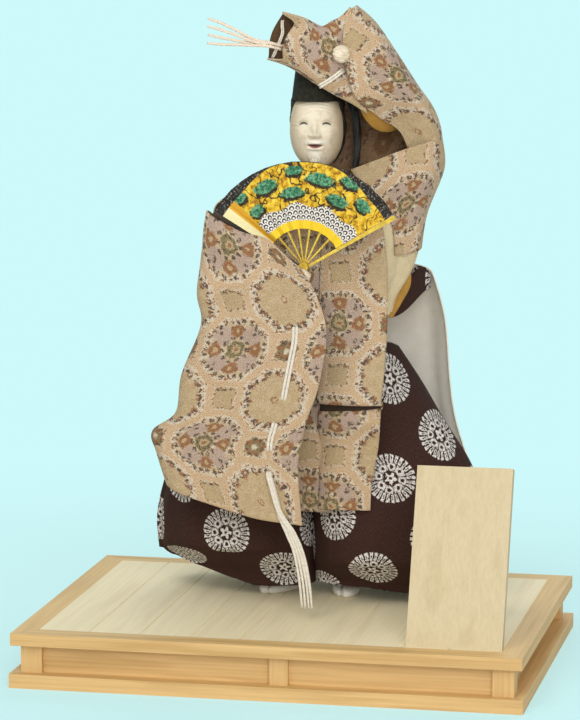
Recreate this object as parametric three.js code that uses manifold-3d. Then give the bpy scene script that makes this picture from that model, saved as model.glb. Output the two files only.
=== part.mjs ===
// A noh dance doll in a brocade robe on a planked wooden stand, with a bare name plaque.
// Millimetres, +Z up, front towards -Y, origin under the middle of the stand.
import * as THREE from 'three';
import { mergeVertices } from 'three/addons/utils/BufferGeometryUtils.js';
import Module from 'manifold-3d';

const wasm = await Module();
wasm.setup();

// Stand
const STAND_WIDTH = 360;
const STAND_DEPTH = 266;
const PLINTH_HEIGHT = 10;
const PLINTH_RAIL = 22;
const POST_SIZE = 15;
const POST_SETBACK = 7;
const POST_HEIGHT = 20;
const PANEL_THICKNESS = 6;
const PANEL_SETBACK = 4.5;
const MUNTIN_WIDTH = 13;
const MUNTIN_X = 10;
const FRAME_INSET = 1;
const FRAME_RAIL = 16.5;
const FRAME_THICKNESS = 8.5;
const DECK_THICKNESS = 6;
const PLANK_COUNT = 9;
const SEAM_WIDTH = 1.2;
const SEAM_DEPTH = 0.8;
const BATTEN_WIDTH = 26;
const BATTEN_THICKNESS = 10;

// Name plaque, leaning back on a wedge foot
const PLAQUE_WIDTH = 66.5;
const PLAQUE_INSET = 2;
const PLAQUE_LENGTH = 126;
const PLAQUE_THICKNESS = 8;
const PLAQUE_LEAN = THREE.MathUtils.degToRad(20.7);
const PLAQUE_FOOT_WIDTH = 24;
const PLAQUE_FOOT_HEIGHT = 34;
const PLAQUE_FOOT_REACH = 30;

// Doll: where it stands, and the gaps and thicknesses that its pieces share
const DOLL_Y = 38;
const SEAT_GAP = 0.3;
const CLOTH = 1.2;
const CUT_REACH = 40;

// Legs and arms
const ROD_RADIUS = 2.5;
const ROD_TOP = 214;
const ROD_Y = 7;
const ROD_X_RIGHT = -24;
const ROD_X_LEFT = 24.5;
const FOOT_HALF_WIDTH = 10.5;
const FOOT_TOE = 18;
const FOOT_HEEL = 24;
const FOOT_HEIGHT = 9;
const FOOT_TURN_RIGHT = THREE.MathUtils.degToRad(-28);
const FOOT_TURN_LEFT = THREE.MathUtils.degToRad(6.7);
const WIRE_RADIUS = 2;
const HAND_RADIUS = 6.5;
const LEFT_HAND = [31, -50.5, 396];

// Waist, where the trousers end and the body starts
const WAIST_Z = 186;

// Head on its neck peg
const TORSO_TOP = 303;
const HEAD_RISE = 36;
const HEAD_X = 6.9;
const HEAD_Y = -16;
const HEAD_Z = TORSO_TOP + HEAD_RISE;
const HEAD_HALF_WIDTH = 17;
const HEAD_HALF_DEPTH = 17;
const HEAD_HALF_HEIGHT = 24;
const NECK_RADIUS = 6;
const NECK_DEPTH = 20;
const COLLAR_HEIGHT = 11;
const COLLAR_RADIUS = 13;
const COLLAR_TAPER = 3;
const COLLAR_GRID = [18, 2];
const MASK_THICKNESS = 2.2;
const NOSE_HEIGHT = 3.4;
const NOSE_HALF_WIDTH = 0.2;
const NOSE_HALF_LENGTH = 0.28;
const NOSE_DROP = 0.12;
const HAIR_THICKNESS = 3;
const MASK_CORD_RADIUS = 0.8;

// Fan, opened round its rivet
const FAN_X = 9;
const FAN_Y = -74;
const FAN_Z = 249;
const FAN_RADIUS = 74;
const FAN_LEAF_INNER = 27;
const FAN_SPREAD = THREE.MathUtils.degToRad(118);
const FAN_PLEATS = 16;
const FAN_PLEAT_DEPTH = 1;
const FAN_PAPER = 0.6;
const FAN_RIB_COUNT = 6;
const FAN_RIB_THICKNESS = 0.8;
const FAN_GUARD_THICKNESS = 2.4;
const FAN_GUARD_WIDTH = 3.2;
const FAN_RIVET_RADIUS = 3.4;
const FAN_RIVET_LENGTH = 5;

// Heights and half sizes that follow from the above
const FRAME_BOTTOM = PLINTH_HEIGHT + POST_HEIGHT;
const DECK_TOP = FRAME_BOTTOM + FRAME_THICKNESS;
const DECK_BOTTOM = DECK_TOP - DECK_THICKNESS;
const HALF_WIDTH = STAND_WIDTH / 2;
const HALF_DEPTH = STAND_DEPTH / 2;
const POST_FACE_X = HALF_WIDTH - POST_SETBACK;
const POST_FACE_Y = HALF_DEPTH - POST_SETBACK;
const PANEL_FACE_X = POST_FACE_X - PANEL_SETBACK;
const PANEL_FACE_Y = POST_FACE_Y - PANEL_SETBACK;
const DECK_HALF_WIDTH = HALF_WIDTH - FRAME_INSET - FRAME_RAIL;
const DECK_HALF_DEPTH = HALF_DEPTH - FRAME_INSET - FRAME_RAIL;
const PLAQUE_LEFT = DECK_HALF_WIDTH - PLAQUE_WIDTH;
const PLAQUE_FRONT = PLAQUE_INSET - DECK_HALF_DEPTH;

const degrees = THREE.MathUtils.degToRad;
const lerp = THREE.MathUtils.lerp;

// Colours and finishes
function paint(color, roughness, metalness = 0) {
  return new THREE.MeshStandardMaterial({ color, roughness, metalness, flatShading: true });
}
const PINE = paint('#d9a860', 0.55);
const PALE_PINE = paint('#d8c299', 0.6);
const BROCADE = paint('#c9a67c', 0.8);
const CREST_CLOTH = paint('#43292a', 0.85);
const PADDING = paint('#cdbb92', 0.95);
const WHITE_CLOTH = paint('#efeae0', 0.85);
const CORD_WHITE = paint('#efe6d4', 0.8);
const IVORY = paint('#ecdcc0', 0.5);
const BLACK = paint('#1d1d18', 0.8);
const GOLD = paint('#d9b13c', 0.45, 0.2);
const STEEL = paint('#8d8f92', 0.4, 1);

// Adds a named piece to a group
function piece(parent, name, geometry, material) {
  const mesh = new THREE.Mesh(geometry, material);
  mesh.name = name;
  parent.add(mesh);
}

// A solid for cutting and joining, from a closed geometry
function solid(geometry) {
  const bare = geometry.clone();
  bare.deleteAttribute('normal');
  bare.deleteAttribute('uv');
  const merged = mergeVertices(bare);
  return new wasm.Manifold(new wasm.Mesh({
    numProp: 3,
    vertProperties: merged.attributes.position.array,
    triVerts: Uint32Array.from(merged.index.array),
  }));
}

function geometryOf(body) {
  const mesh = body.getMesh();
  const geometry = new THREE.BufferGeometry();
  geometry.setAttribute('position', new THREE.BufferAttribute(mesh.vertProperties, 3));
  geometry.setIndex(new THREE.BufferAttribute(mesh.triVerts, 1));
  return geometry;
}

// A geometry with others cut out of it; only the largest body left is kept
function cut(geometry, ...tools) {
  const rest = tools.reduce((body, tool) => body.subtract(solid(tool)), solid(geometry));
  const bodies = rest.decompose();
  return geometryOf(bodies.reduce((a, b) => (b.volume() > a.volume() ? b : a)));
}

function join(first, second) {
  return geometryOf(solid(first).add(solid(second)));
}

// A closed geometry from points and triangles, turned to face out
function closed(points, triangles) {
  let volume = 0;
  for (let i = 0; i < triangles.length; i += 3) {
    const [a, b, c] = [0, 1, 2].map((k) => points[triangles[i + k]]);
    volume += a.dot(new THREE.Vector3().crossVectors(b, c));
  }
  const faces = volume < 0 ? triangles.slice().reverse() : triangles;
  const geometry = new THREE.BufferGeometry().setFromPoints(points);
  geometry.setIndex(faces);
  return geometry;
}

// A thin closed shell between two surfaces of the same grid
function shellBetween(inner, outer, columns, rows, wrap = false) {
  const count = wrap ? columns : columns + 1;
  const points = [];
  for (const surface of [inner, outer]) {
    for (let row = 0; row <= rows; row += 1) {
      for (let column = 0; column < count; column += 1) {
        points.push(surface(column / columns, row / rows));
      }
    }
  }
  const at = (side, row, column) => (side * (rows + 1) + row) * count + (column % count);
  const triangles = [];
  const quad = (a, b, c, d) => triangles.push(a, b, c, a, c, d);
  for (let c = 0; c < columns; c += 1) {
    for (let r = 0; r < rows; r += 1) {
      quad(at(1, r, c), at(1, r, c + 1), at(1, r + 1, c + 1), at(1, r + 1, c));
      quad(at(0, r, c), at(0, r + 1, c), at(0, r + 1, c + 1), at(0, r, c + 1));
    }
    quad(at(0, 0, c), at(0, 0, c + 1), at(1, 0, c + 1), at(1, 0, c));
    quad(at(1, rows, c), at(1, rows, c + 1), at(0, rows, c + 1), at(0, rows, c));
  }
  for (let r = 0; r < rows && !wrap; r += 1) {
    quad(at(1, r, 0), at(1, r + 1, 0), at(0, r + 1, 0), at(0, r, 0));
    quad(at(0, r, columns), at(0, r + 1, columns), at(1, r + 1, columns), at(1, r, columns));
  }
  return closed(points, triangles);
}

// A surface moved along its own normal
function offset(surface, distance, wrap = false) {
  const step = 1e-3;
  const inside = (value) => (wrap ? value : THREE.MathUtils.clamp(value, 0, 1));
  return (u, v) => {
    const along = surface(inside(u + step), v).sub(surface(inside(u - step), v));
    const down = surface(u, Math.min(v + step, 1)).sub(surface(u, Math.max(v - step, 0)));
    const normal = along.cross(down).normalize();
    return surface(u, v).addScaledVector(normal, distance);
  };
}

// Cloth of even thickness on a surface
function cloth(surface, columns, rows, wrap = false) {
  const under = offset(surface, -CLOTH / 2, wrap);
  const over = offset(surface, CLOTH / 2, wrap);
  return shellBetween(under, over, columns, rows, wrap);
}

// What cloth on a surface takes away from a padded piece, on the side that it faces
function clothCut(surface, columns, rows, side, clearance = CLOTH / 2 + SEAT_GAP) {
  const near = offset(surface, -side * clearance);
  const far = offset(surface, side * CUT_REACH);
  return shellBetween(near, far, columns, rows);
}

// A closed solid through rings of points
function loft(rings) {
  const count = rings[0].length;
  const points = rings.flat();
  const triangles = [];
  for (let ring = 0; ring + 1 < rings.length; ring += 1) {
    for (let k = 0; k < count; k += 1) {
      const next = (k + 1) % count;
      const [a, b] = [ring * count + k, ring * count + next];
      triangles.push(a, b, b + count, a, b + count, a + count);
    }
  }
  for (const ring of [0, rings.length - 1]) {
    const centre = points.length;
    const middle = new THREE.Vector3();
    rings[ring].forEach((point) => middle.addScaledVector(point, 1 / count));
    points.push(middle);
    for (let k = 0; k < count; k += 1) {
      const [a, b] = [ring * count + k, ring * count + ((k + 1) % count)];
      triangles.push(...(ring === 0 ? [b, a, centre] : [a, b, centre]));
    }
  }
  return closed(points, triangles);
}

// A smooth value between hand-chosen stations, each a list of numbers
function along(stations, t) {
  const last = stations.length - 1;
  const index = Math.min(Math.floor(t * last), last - 1);
  const step = t * last - index;
  const station = (k) => stations[THREE.MathUtils.clamp(index + k, 0, last)];
  const [before, start, end, after] = [-1, 0, 1, 2].map(station);
  return start.map((from, k) => {
    const leave = (end[k] - before[k]) / 2;
    const arrive = (after[k] - from) / 2;
    const change = end[k] - from;
    const bend = 3 * change - 2 * leave - arrive;
    const twist = leave + arrive - 2 * change;
    return from + step * (leave + step * (bend + step * twist));
  });
}

// Simple shapes
function box(x0, x1, y0, y1, z0, z1) {
  const geometry = new THREE.BoxGeometry(x1 - x0, y1 - y0, z1 - z0);
  return geometry.translate((x0 + x1) / 2, (y0 + y1) / 2, (z0 + z1) / 2);
}

function prism(outline, depth) {
  const shape = new THREE.Shape(outline.map(([x, y]) => new THREE.Vector2(x, y)));
  return new THREE.ExtrudeGeometry(shape, { depth, bevelEnabled: false });
}

// An outline in X and Z, extruded from y0 to y1
function prismAlongY(outline, y0, y1) {
  return prism(outline, y1 - y0).rotateX(Math.PI / 2).translate(0, y1, 0);
}

function upright(radius, x, y, z0, z1, sides = 16) {
  const geometry = new THREE.CylinderGeometry(radius, radius, z1 - z0, sides).rotateX(Math.PI / 2);
  return geometry.translate(x, y, (z0 + z1) / 2);
}

function ellipsoid(centre, radii, columns = 16, rows = 10) {
  const ball = new THREE.SphereGeometry(1, columns, rows).rotateX(Math.PI / 2);
  return ball.scale(...radii).translate(...centre);
}

function tube(points, radius, steps) {
  const sides = 8;
  const path = new THREE.CatmullRomCurve3(points.map((point) => new THREE.Vector3(...point)));
  const ring = Array.from({ length: sides }, (_, k) => {
    const angle = (2 * Math.PI * k) / sides;
    return new THREE.Vector2(radius * Math.cos(angle), radius * Math.sin(angle));
  });
  return new THREE.ExtrudeGeometry(new THREE.Shape(ring), { steps, extrudePath: path });
}

// Stand: plinth, posts, panels, top frame and planked deck
function mitredRails(parent, prefix, halfWidth, halfDepth, rail, z0, z1) {
  const corners = [[-1, -1], [1, -1], [1, 1], [-1, 1]];
  ['front', 'right', 'back', 'left'].forEach((side, k) => {
    const [a, b] = [corners[k], corners[(k + 1) % 4]];
    const outline = [a, b, b, a].map(([x, y], j) => {
      const inset = j < 2 ? 0 : rail;
      return [x * (halfWidth - inset), y * (halfDepth - inset)];
    });
    piece(parent, `${prefix}_${side}`, prism(outline, z1 - z0).translate(0, 0, z0), PINE);
  });
}

function deckBoard() {
  const plank = (2 * DECK_HALF_WIDTH) / PLANK_COUNT;
  const outline = [
    [-DECK_HALF_WIDTH, DECK_BOTTOM],
    [DECK_HALF_WIDTH, DECK_BOTTOM],
    [DECK_HALF_WIDTH, DECK_TOP],
  ];
  for (let seam = PLANK_COUNT - 1; seam > 0; seam -= 1) {
    const x = -DECK_HALF_WIDTH + seam * plank;
    outline.push([x + SEAM_WIDTH / 2, DECK_TOP]);
    outline.push([x, DECK_TOP - SEAM_DEPTH]);
    outline.push([x - SEAM_WIDTH / 2, DECK_TOP]);
  }
  outline.push([-DECK_HALF_WIDTH, DECK_TOP]);
  return prismAlongY(outline, -DECK_HALF_DEPTH, DECK_HALF_DEPTH);
}

function rodBores(dollY) {
  return [ROD_X_RIGHT, ROD_X_LEFT].map((x) =>
    upright(ROD_RADIUS + SEAT_GAP, x, ROD_Y + dollY, -DECK_TOP, DECK_TOP + ROD_TOP + SEAT_GAP));
}

function stand(parent) {
  mitredRails(parent, 'plinth', HALF_WIDTH, HALF_DEPTH, PLINTH_RAIL, 0, PLINTH_HEIGHT);
  const [frameWidth, frameDepth] = [HALF_WIDTH - FRAME_INSET, HALF_DEPTH - FRAME_INSET];
  mitredRails(parent, 'frame', frameWidth, frameDepth, FRAME_RAIL, FRAME_BOTTOM, DECK_TOP);
  for (const [depthName, sy] of [['front', -1], ['back', 1]]) {
    for (const [sideName, sx] of [['left', -1], ['right', 1]]) {
      const half = POST_SIZE / 2;
      const x = sx * (POST_FACE_X - half);
      const y = sy * (POST_FACE_Y - half);
      const post = box(x - half, x + half, y - half, y + half, PLINTH_HEIGHT, FRAME_BOTTOM);
      piece(parent, `post_${depthName}_${sideName}`, post, PINE);
    }
    const span = POST_FACE_X - POST_SIZE;
    const faces = [sy * PANEL_FACE_Y, sy * (PANEL_FACE_Y - PANEL_THICKNESS)];
    const panel = box(-span, span, Math.min(...faces), Math.max(...faces), PLINTH_HEIGHT, FRAME_BOTTOM);
    piece(parent, `panel_${depthName}`, panel, PINE);
  }
  for (const [sideName, sx] of [['left', -1], ['right', 1]]) {
    const span = POST_FACE_Y - POST_SIZE;
    const faces = [sx * PANEL_FACE_X, sx * (PANEL_FACE_X - PANEL_THICKNESS)];
    const panel = box(Math.min(...faces), Math.max(...faces), -span, span, PLINTH_HEIGHT, FRAME_BOTTOM);
    piece(parent, `panel_${sideName}`, panel, PINE);
  }
  const [muntinLeft, muntinRight] = [MUNTIN_X - MUNTIN_WIDTH / 2, MUNTIN_X + MUNTIN_WIDTH / 2];
  const muntin = box(muntinLeft, muntinRight, -POST_FACE_Y, -PANEL_FACE_Y, PLINTH_HEIGHT, FRAME_BOTTOM);
  piece(parent, 'muntin_front', muntin, PINE);
  piece(parent, 'deck_board', cut(deckBoard(), ...rodBores(DOLL_Y)), PALE_PINE);
  const battenEnd = PANEL_FACE_X - PANEL_THICKNESS;
  for (const [name, y] of [['batten_front', -DOLL_Y - ROD_Y], ['batten_back', DOLL_Y + ROD_Y]]) {
    const [y0, y1] = [y - BATTEN_WIDTH / 2, y + BATTEN_WIDTH / 2];
    const batten = box(-battenEnd, battenEnd, y0, y1, DECK_BOTTOM - BATTEN_THICKNESS, DECK_BOTTOM);
    piece(parent, name, y > 0 ? cut(batten, ...rodBores(DOLL_Y)) : batten, PINE);
  }
}

// Name plaque: a leaning board with its foot cut level, and a wedge glued behind it
function plaque(parent) {
  const [sin, cos] = [Math.sin(PLAQUE_LEAN), Math.cos(PLAQUE_LEAN)];
  const backFoot = PLAQUE_THICKNESS / cos;
  const board = [
    [0, 0],
    [backFoot, 0],
    [PLAQUE_LENGTH * sin + PLAQUE_THICKNESS * cos, PLAQUE_LENGTH * cos - PLAQUE_THICKNESS * sin],
    [PLAQUE_LENGTH * sin, PLAQUE_LENGTH * cos],
  ];
  const wedgeFront = backFoot + SEAT_GAP;
  const wedge = [
    [wedgeFront, 0],
    [wedgeFront + PLAQUE_FOOT_REACH, 0],
    [wedgeFront + PLAQUE_FOOT_HEIGHT * Math.tan(PLAQUE_LEAN), PLAQUE_FOOT_HEIGHT],
  ];
  // An outline in Y and Z, extruded along X
  const alongX = (outline, width, left) =>
    prism(outline, width).rotateX(Math.PI / 2).rotateZ(Math.PI / 2).translate(left, PLAQUE_FRONT, DECK_TOP);
  const footLeft = PLAQUE_LEFT + (PLAQUE_WIDTH - PLAQUE_FOOT_WIDTH) / 2;
  piece(parent, 'plaque_board', alongX(board, PLAQUE_WIDTH, PLAQUE_LEFT), PALE_PINE);
  piece(parent, 'plaque_foot', alongX(wedge, PLAQUE_FOOT_WIDTH, footLeft), PALE_PINE);
}

// A ring with its own reach to the left, right, front and back; tilt raises it along X
const turns = (count) => Array.from({ length: count }, (_, k) => (2 * Math.PI * k) / count);

function sideRing([z, x, y, left, right, front, back, tilt = 0], count, ripple = () => 1) {
  return turns(count).map((angle) => {
    const [cos, sin] = [Math.cos(angle), Math.sin(angle)];
    const dx = cos * (cos > 0 ? right : left) * ripple(angle);
    const dy = -sin * (sin > 0 ? front : back) * ripple(angle);
    return new THREE.Vector3(x + dx, y + dy, z + tilt * dx);
  });
}

function paddedForm(stations, columns, rows, ripple = () => 1) {
  const ring = (_, row) => {
    const t = row / rows;
    return sideRing(along(stations, t), columns, (angle) => ripple(angle, t));
  };
  return loft(Array.from({ length: rows + 1 }, ring));
}

// Robe front. Rows: height, depth, left edge, right edge; it blouses over a tuck near mid-height
const ROBE_FRONT = [
  [304, -32, -24, 46],
  [285, -40, -28, 56],
  [250, -49, -42, 63],
  [215, -53, -55, 64.6],
  [180, -55, -55, 63],
  [158, -58.5, -54, 62],
  [149, -59.5, -53, 61.5],
  [146.5, -56, -53, 61],
  [151, -53.5, -53, 61],
  [146, -51.5, -52, 60.5],
  [120, -52.5, -50, 58],
  [93, -54, -48, 53.6],
  [73, -54, -46, 52.5],
];
const ROBE_FRONT_EDGE = 4;
const ROBE_FRONT_GRID = [10, 24];
const ROBE_CHEST_ROWS = 8;
const robeChest = (u, v) => robeFront(u, (v * ROBE_CHEST_ROWS) / ROBE_FRONT_GRID[1]);

function robeFront(u, v) {
  const [z, y, left, right] = along(ROBE_FRONT, v);
  return new THREE.Vector3(lerp(left, right, u), y + ROBE_FRONT_EDGE * (2 * u - 1) ** 4, z);
}

// Robe back. Rows: height, depth at the middle, depth at the edges, left edge, right edge
const ROBE_BACK = [
  [305, 12, -12, -34, 48],
  [280, 30, -6, -50, 60],
  [250, 36, -2, -56, 60],
  [225, 34, -2, -54, 56],
  [204, 30, 0, -48, 52],
];
const ROBE_BACK_GRID = [12, 6];
const robeBackSeat = (u, v) => robeBack(u, v).add(new THREE.Vector3(0, 0, -2 * SEAT_GAP * v));

function robeBack(u, v) {
  const [z, middle, edge, left, right] = along(ROBE_BACK, v);
  return new THREE.Vector3(lerp(left, right, u), lerp(middle, edge, (2 * u - 1) ** 2), z);
}

// Robe side below the raised arm. Rows: X, Y, Z of the front edge, the side and the rear edge
const ROBE_SIDE = [
  [46, -38, 330, 97, -24, 349, 86, 20, 340],
  [56, -41, 305, 97, -25, 318, 84, 22, 312],
  [63, -37, 270, 85, -23, 276, 76, 10, 274],
  [64, -36, 240, 75, -20, 242, 66, -3, 240],
  [62, -37, 214, 64, -22, 214, 60, -9, 214],
];
const ROBE_SIDE_GRID = [10, 8];

function robeSide(u, v) {
  const row = along(ROBE_SIDE, v);
  const weights = [(1 - u) * (1 - 2 * u), 4 * u * (1 - u), u * (2 * u - 1)];
  const mix = (k) => weights.reduce((sum, weight, j) => sum + weight * row[3 * j + k], 0);
  return new THREE.Vector3(mix(0), mix(1), mix(2));
}

// Stiff trouser back. Rows: height at the back, height at the ends, X of the middle,
// reach to the left and right, Y of the middle, reach to the back, and how far round it goes
const BACK_PANEL = [
  [238, 206, 8, 76, 70, 16, 40, 115],
  [190, 190, 9, 82, 83, 20, 42, 105],
  [120, 120, 6, 92, 95, 24, 42, 90],
  [60, 60, 4, 104, 110, 26, 44, 84],
  [16, 16, 4, 106, 114, 27, 46, 80],
];
const BACK_PANEL_GRID = [28, 6];
const BACK_PANEL_BOXINESS = 0.75;
const BACK_PANEL_PLEATS = 15;
const BACK_PANEL_PLEAT_DEPTH = 0.018;
const END_DROP_POWER = 6;
const WAISTBAND_SHARE = 0.07;
const WAISTBAND_THICKNESS = 1.5;

function backPanel(u, v) {
  const [zBack, zEnd, x, left, right, y, deep, reach] = along(BACK_PANEL, v);
  const turn = (2 * u - 1) * degrees(reach);
  const boxy = (value) => Math.sign(value) * Math.abs(value) ** BACK_PANEL_BOXINESS;
  const swell = 1 + BACK_PANEL_PLEAT_DEPTH * v * Math.cos(BACK_PANEL_PLEATS * turn);
  const across = boxy(Math.sin(turn)) * (turn < 0 ? left : right) * swell;
  const z = lerp(zBack, zEnd, Math.abs(2 * u - 1) ** END_DROP_POWER);
  return new THREE.Vector3(x + across, y + boxy(Math.cos(turn)) * deep * swell, z);
}

const backPanelTop = (u, v) => backPanel(u, v * WAISTBAND_SHARE);

// Padded trouser legs. Stations: height, X, Y, reach left, right, front and back, and tilt
const RIGHT_LEG = [
  [FOOT_HEIGHT + SEAT_GAP, -25, 2, 20, 18, 20, 22, 0],
  [19, -34, -2, 53, 34, 38, 36, -0.15],
  [37, -38, -3, 72, 39, 47, 40, -0.03],
  [60, -39, -3, 71, 40, 47, 42, 0],
  [95, -37, -2, 64, 38, 43, 42, 0],
  [140, -31, 0, 50, 32, 40, 40, 0],
  [WAIST_Z, -24, 0, 36, 25, 34, 36, 0],
];
const LEFT_LEG = [
  [FOOT_HEIGHT + SEAT_GAP, 25, 2, 17, 20, 20, 22, 0],
  [14, 38, -2, 32, 54, 38, 34, 0],
  [30, 44, -3, 38, 74, 46, 38, 0],
  [60, 46, -3, 40, 76, 47, 40, 0],
  [98, 44, -2, 38, 71, 43, 40, 0],
  [140, 35, 0, 30, 54, 40, 38, 0],
  [WAIST_Z, 26, 0, 22, 32, 34, 34, 0],
];
const LEG_GRID = [39, 9];
const LEG_PLEATS = 13;
const LEG_PLEAT_DEPTH = 0.05;

function hakamaLeg(stations, outward) {
  const ripple = (angle, t) => {
    const outer = (1 + outward * Math.cos(angle)) / 2;
    return 1 + LEG_PLEAT_DEPTH * outer * Math.sin(Math.PI * t) * Math.cos(LEG_PLEATS * angle);
  };
  const leg = paddedForm(stations, ...LEG_GRID, ripple);
  return cut(leg, ...rodBores(0), clothCut(backPanel, ...BACK_PANEL_GRID, 1));
}

// Sleeves folded flat along one edge and open along the other; u runs rear edge, fold, front edge
const FOLD_SHARE = 0.16;
const FOLD_CROWDING = 1.3;
const SLEEVE_WAVE = 2.4;
const WAVE_TURN_ACROSS = 9;
const WAVE_TURN_DOWN = 4;

function envelope(rows, sag) {
  return (u, v) => {
    const [foldX, foldZ, openX, openZ, middle, half, ...rear] = along(rows, v);
    const [rearX, rearY, rearZ] = rear.length ? rear : [openX, middle + half, openZ];
    const across = Math.abs(2 * u - 1) ** FOLD_CROWDING;
    const front = u > 0.5;
    const roundness = Math.sqrt(1 - (1 - Math.min(across / FOLD_SHARE, 1)) ** 2);
    const rolling = 1 + Math.sin(WAVE_TURN_ACROSS * across + WAVE_TURN_DOWN * v);
    const wave = front ? SLEEVE_WAVE * across * (1 - across) * rolling : 0;
    const y = front ? middle - half * roundness + wave : lerp(middle + half * roundness, rearY, across);
    const droop = sag * 4 * across * (1 - across) * v ** 3;
    const x = lerp(foldX, front ? openX : rearX, across);
    return new THREE.Vector3(x, y, lerp(foldZ, front ? openZ : rearZ, across) - droop);
  };
}

// Hanging sleeve. Rows: X and Z of the fold, X and Z of the cuff edge, then depth
const SLEEVE_Y = -74;
const SLEEVE_HALF = 10;
const SLEEVE_SAG = 5;
const RIGHT_SLEEVE = [
  [-60, 287, 8, 250],
  [-66.5, 231, 20, 230],
  [-64.5, 206, 27, 204],
  [-78, 171, 22, 168],
  [-83, 143, 13, 141],
  [-100, 129, 8.5, 120],
  [-97, 114, 7, 104],
  [-90, 92, 10, 67],
].map((row) => [...row, SLEEVE_Y, SLEEVE_HALF]);
const RIGHT_SLEEVE_GRID = [20, 14];
const rightSleeve = envelope(RIGHT_SLEEVE, SLEEVE_SAG);

// Its top, a short tube over the upper arm. Stations: X, Y, Z of the middle and radius
const RIGHT_UPPER_END = SLEEVE_Y + SLEEVE_HALF + CLOTH / 2 + 2 * SEAT_GAP;
const RIGHT_UPPER_SLEEVE = [
  [-42, -20, 290, 11],
  [-47, -40, 288, 12],
  [-52, RIGHT_UPPER_END, 285, 12.5],
];
const RIGHT_UPPER_GRID = [14, 4];

function rightUpperSleeve(u, v) {
  const [x, y, z, radius] = along(RIGHT_UPPER_SLEEVE, v);
  const angle = 2 * Math.PI * u;
  return new THREE.Vector3(x + radius * Math.cos(angle), y, z + radius * Math.sin(angle));
}

// Raised sleeve over the upper arm, from the shoulder up; its rear layer hangs behind the head.
// Rows: X and Z of the fold and of the front edge, depth, and X, Y, Z of the rear edge
const LEFT_SLEEVE = [
  [91, 342, 52, 344, -17, 12, 30, 10, 312],
  [88, 356, 46, 357, -20, 15, 29, 10, 334],
  [78, 373, 38, 368, -28, 17, 34, 8, 357],
  [64, 394, 33, 390, -34, 15, 38, -4, 381],
  [49, 415, 31, 410, -34, 11, 34, -18, 406],
  [38, 428.5, 33, 425, -32, 5, 33, -27, 425],
];
const LEFT_SLEEVE_GRID = [16, 8];
const leftSleeve = envelope(LEFT_SLEEVE, 0);

// Its cuff end, a flattened tube thrown over the head.
// Stations: X and Z of the lower and upper edges, Y of the middle, half depth
const LEFT_DRAPE = [
  [-24, 391, -13, 424, -40, 9],
  [-8, 386, 3, 420, -42, 9],
  [12, 374, 15, 414.5, -42, 8],
  [26, 366, 22, 418, -40, 6],
  [36, 361, 28, 421, -39, 4],
];
const LEFT_DRAPE_GRID = [16, 7];

function leftDrape(u, v) {
  const [lowX, lowZ, highX, highZ, middle, half] = along(LEFT_DRAPE, v);
  const angle = 2 * Math.PI * u;
  const lift = (1 - Math.cos(angle)) / 2;
  const y = middle + half * Math.sin(angle);
  return new THREE.Vector3(lerp(lowX, highX, lift), y, lerp(lowZ, highZ, lift));
}

// Arm wires, and the free cord ends of the sleeves
const FOREARM_Y = SLEEVE_Y + SLEEVE_HALF - CLOTH / 2 - 2.5 * SEAT_GAP - WIRE_RADIUS;
const HAND_BELOW_RIVET = 6;
const HAND_ASIDE = 1;
const RIGHT_HAND = [FAN_X - HAND_ASIDE, FAN_Y, FAN_Z - HAND_BELOW_RIVET];
const RIGHT_WIRE = [
  [-14, -14, 288],
  [-33, -18, 290],
  [-45, -38, 292],
  [-51, -58, 292],
  [-52, FOREARM_Y, 284],
  [-51, FOREARM_Y, 270],
  [-34, FOREARM_Y, 252],
  [RIGHT_HAND[0] - 4, RIGHT_HAND[1] + 2, RIGHT_HAND[2]],
];
const WIRE_STAND_OFF = CLOTH / 2 + 3 * SEAT_GAP + WIRE_RADIUS;
const [, [, , , ELBOW_X, ELBOW_Y, ELBOW_Z]] = ROBE_SIDE;
const [, [ARM_FOLD_X, ARM_FOLD_Z, , , ARM_FOLD_Y]] = LEFT_SLEEVE;
const LEFT_WIRE = [
  [24, -12, 286],
  [58, -17, 298],
  [ELBOW_X - CLOTH / 2 - WIRE_RADIUS, ELBOW_Y, ELBOW_Z],
  [87, -23, 336],
  [ARM_FOLD_X - WIRE_STAND_OFF, ARM_FOLD_Y, ARM_FOLD_Z],
  [77, -27, 367],
  [62, -33, 379],
  [47, -39, 389],
  [38, -43, 393],
  [LEFT_HAND[0] + 3, LEFT_HAND[1] + 4, LEFT_HAND[2]],
];
const WIRE_STEPS = 18;
const TAIL_RADIUS = 2;
const RIGHT_TAIL_Y = SLEEVE_Y - SLEEVE_HALF - CLOTH / 2 - SEAT_GAP - TAIL_RADIUS;
const RIGHT_TAIL = [
  [-14, RIGHT_TAIL_Y, 105],
  [-9, RIGHT_TAIL_Y, 88],
  [-4.5, RIGHT_TAIL_Y, 70],
  [0.5, RIGHT_TAIL_Y, 55.5],
  [5.6, RIGHT_TAIL_Y, 41],
  [9.5, RIGHT_TAIL_Y, 24],
  [12, RIGHT_TAIL_Y, 7],
];
const LEFT_TAIL = [
  [-21.4, -48.5, 402],
  [-32, -48, 403],
  [-44, -47, 406],
  [-56, -46, 409],
  [-66, -45, 411],
];
const TAIL_STEPS = 14;

const rightWire = (grow = 0) => tube(RIGHT_WIRE, WIRE_RADIUS + grow, WIRE_STEPS);
const leftWire = (grow = 0) => tube(LEFT_WIRE, WIRE_RADIUS + grow, WIRE_STEPS);
const ball = (centre, grow = 0) => ellipsoid(centre, Array(3).fill(HAND_RADIUS + grow), 14, 10);

// Feet, rods, padded body, arms and hands. Foot rows: shares of its height, width and toe length
const FOOT_ROWS = [
  [0, 0.92, 0.95],
  [0.2, 1, 1],
  [0.65, 0.95, 0.9],
  [1, 0.8, 0.55],
];
const FOOT_SIDES = 20;

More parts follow.
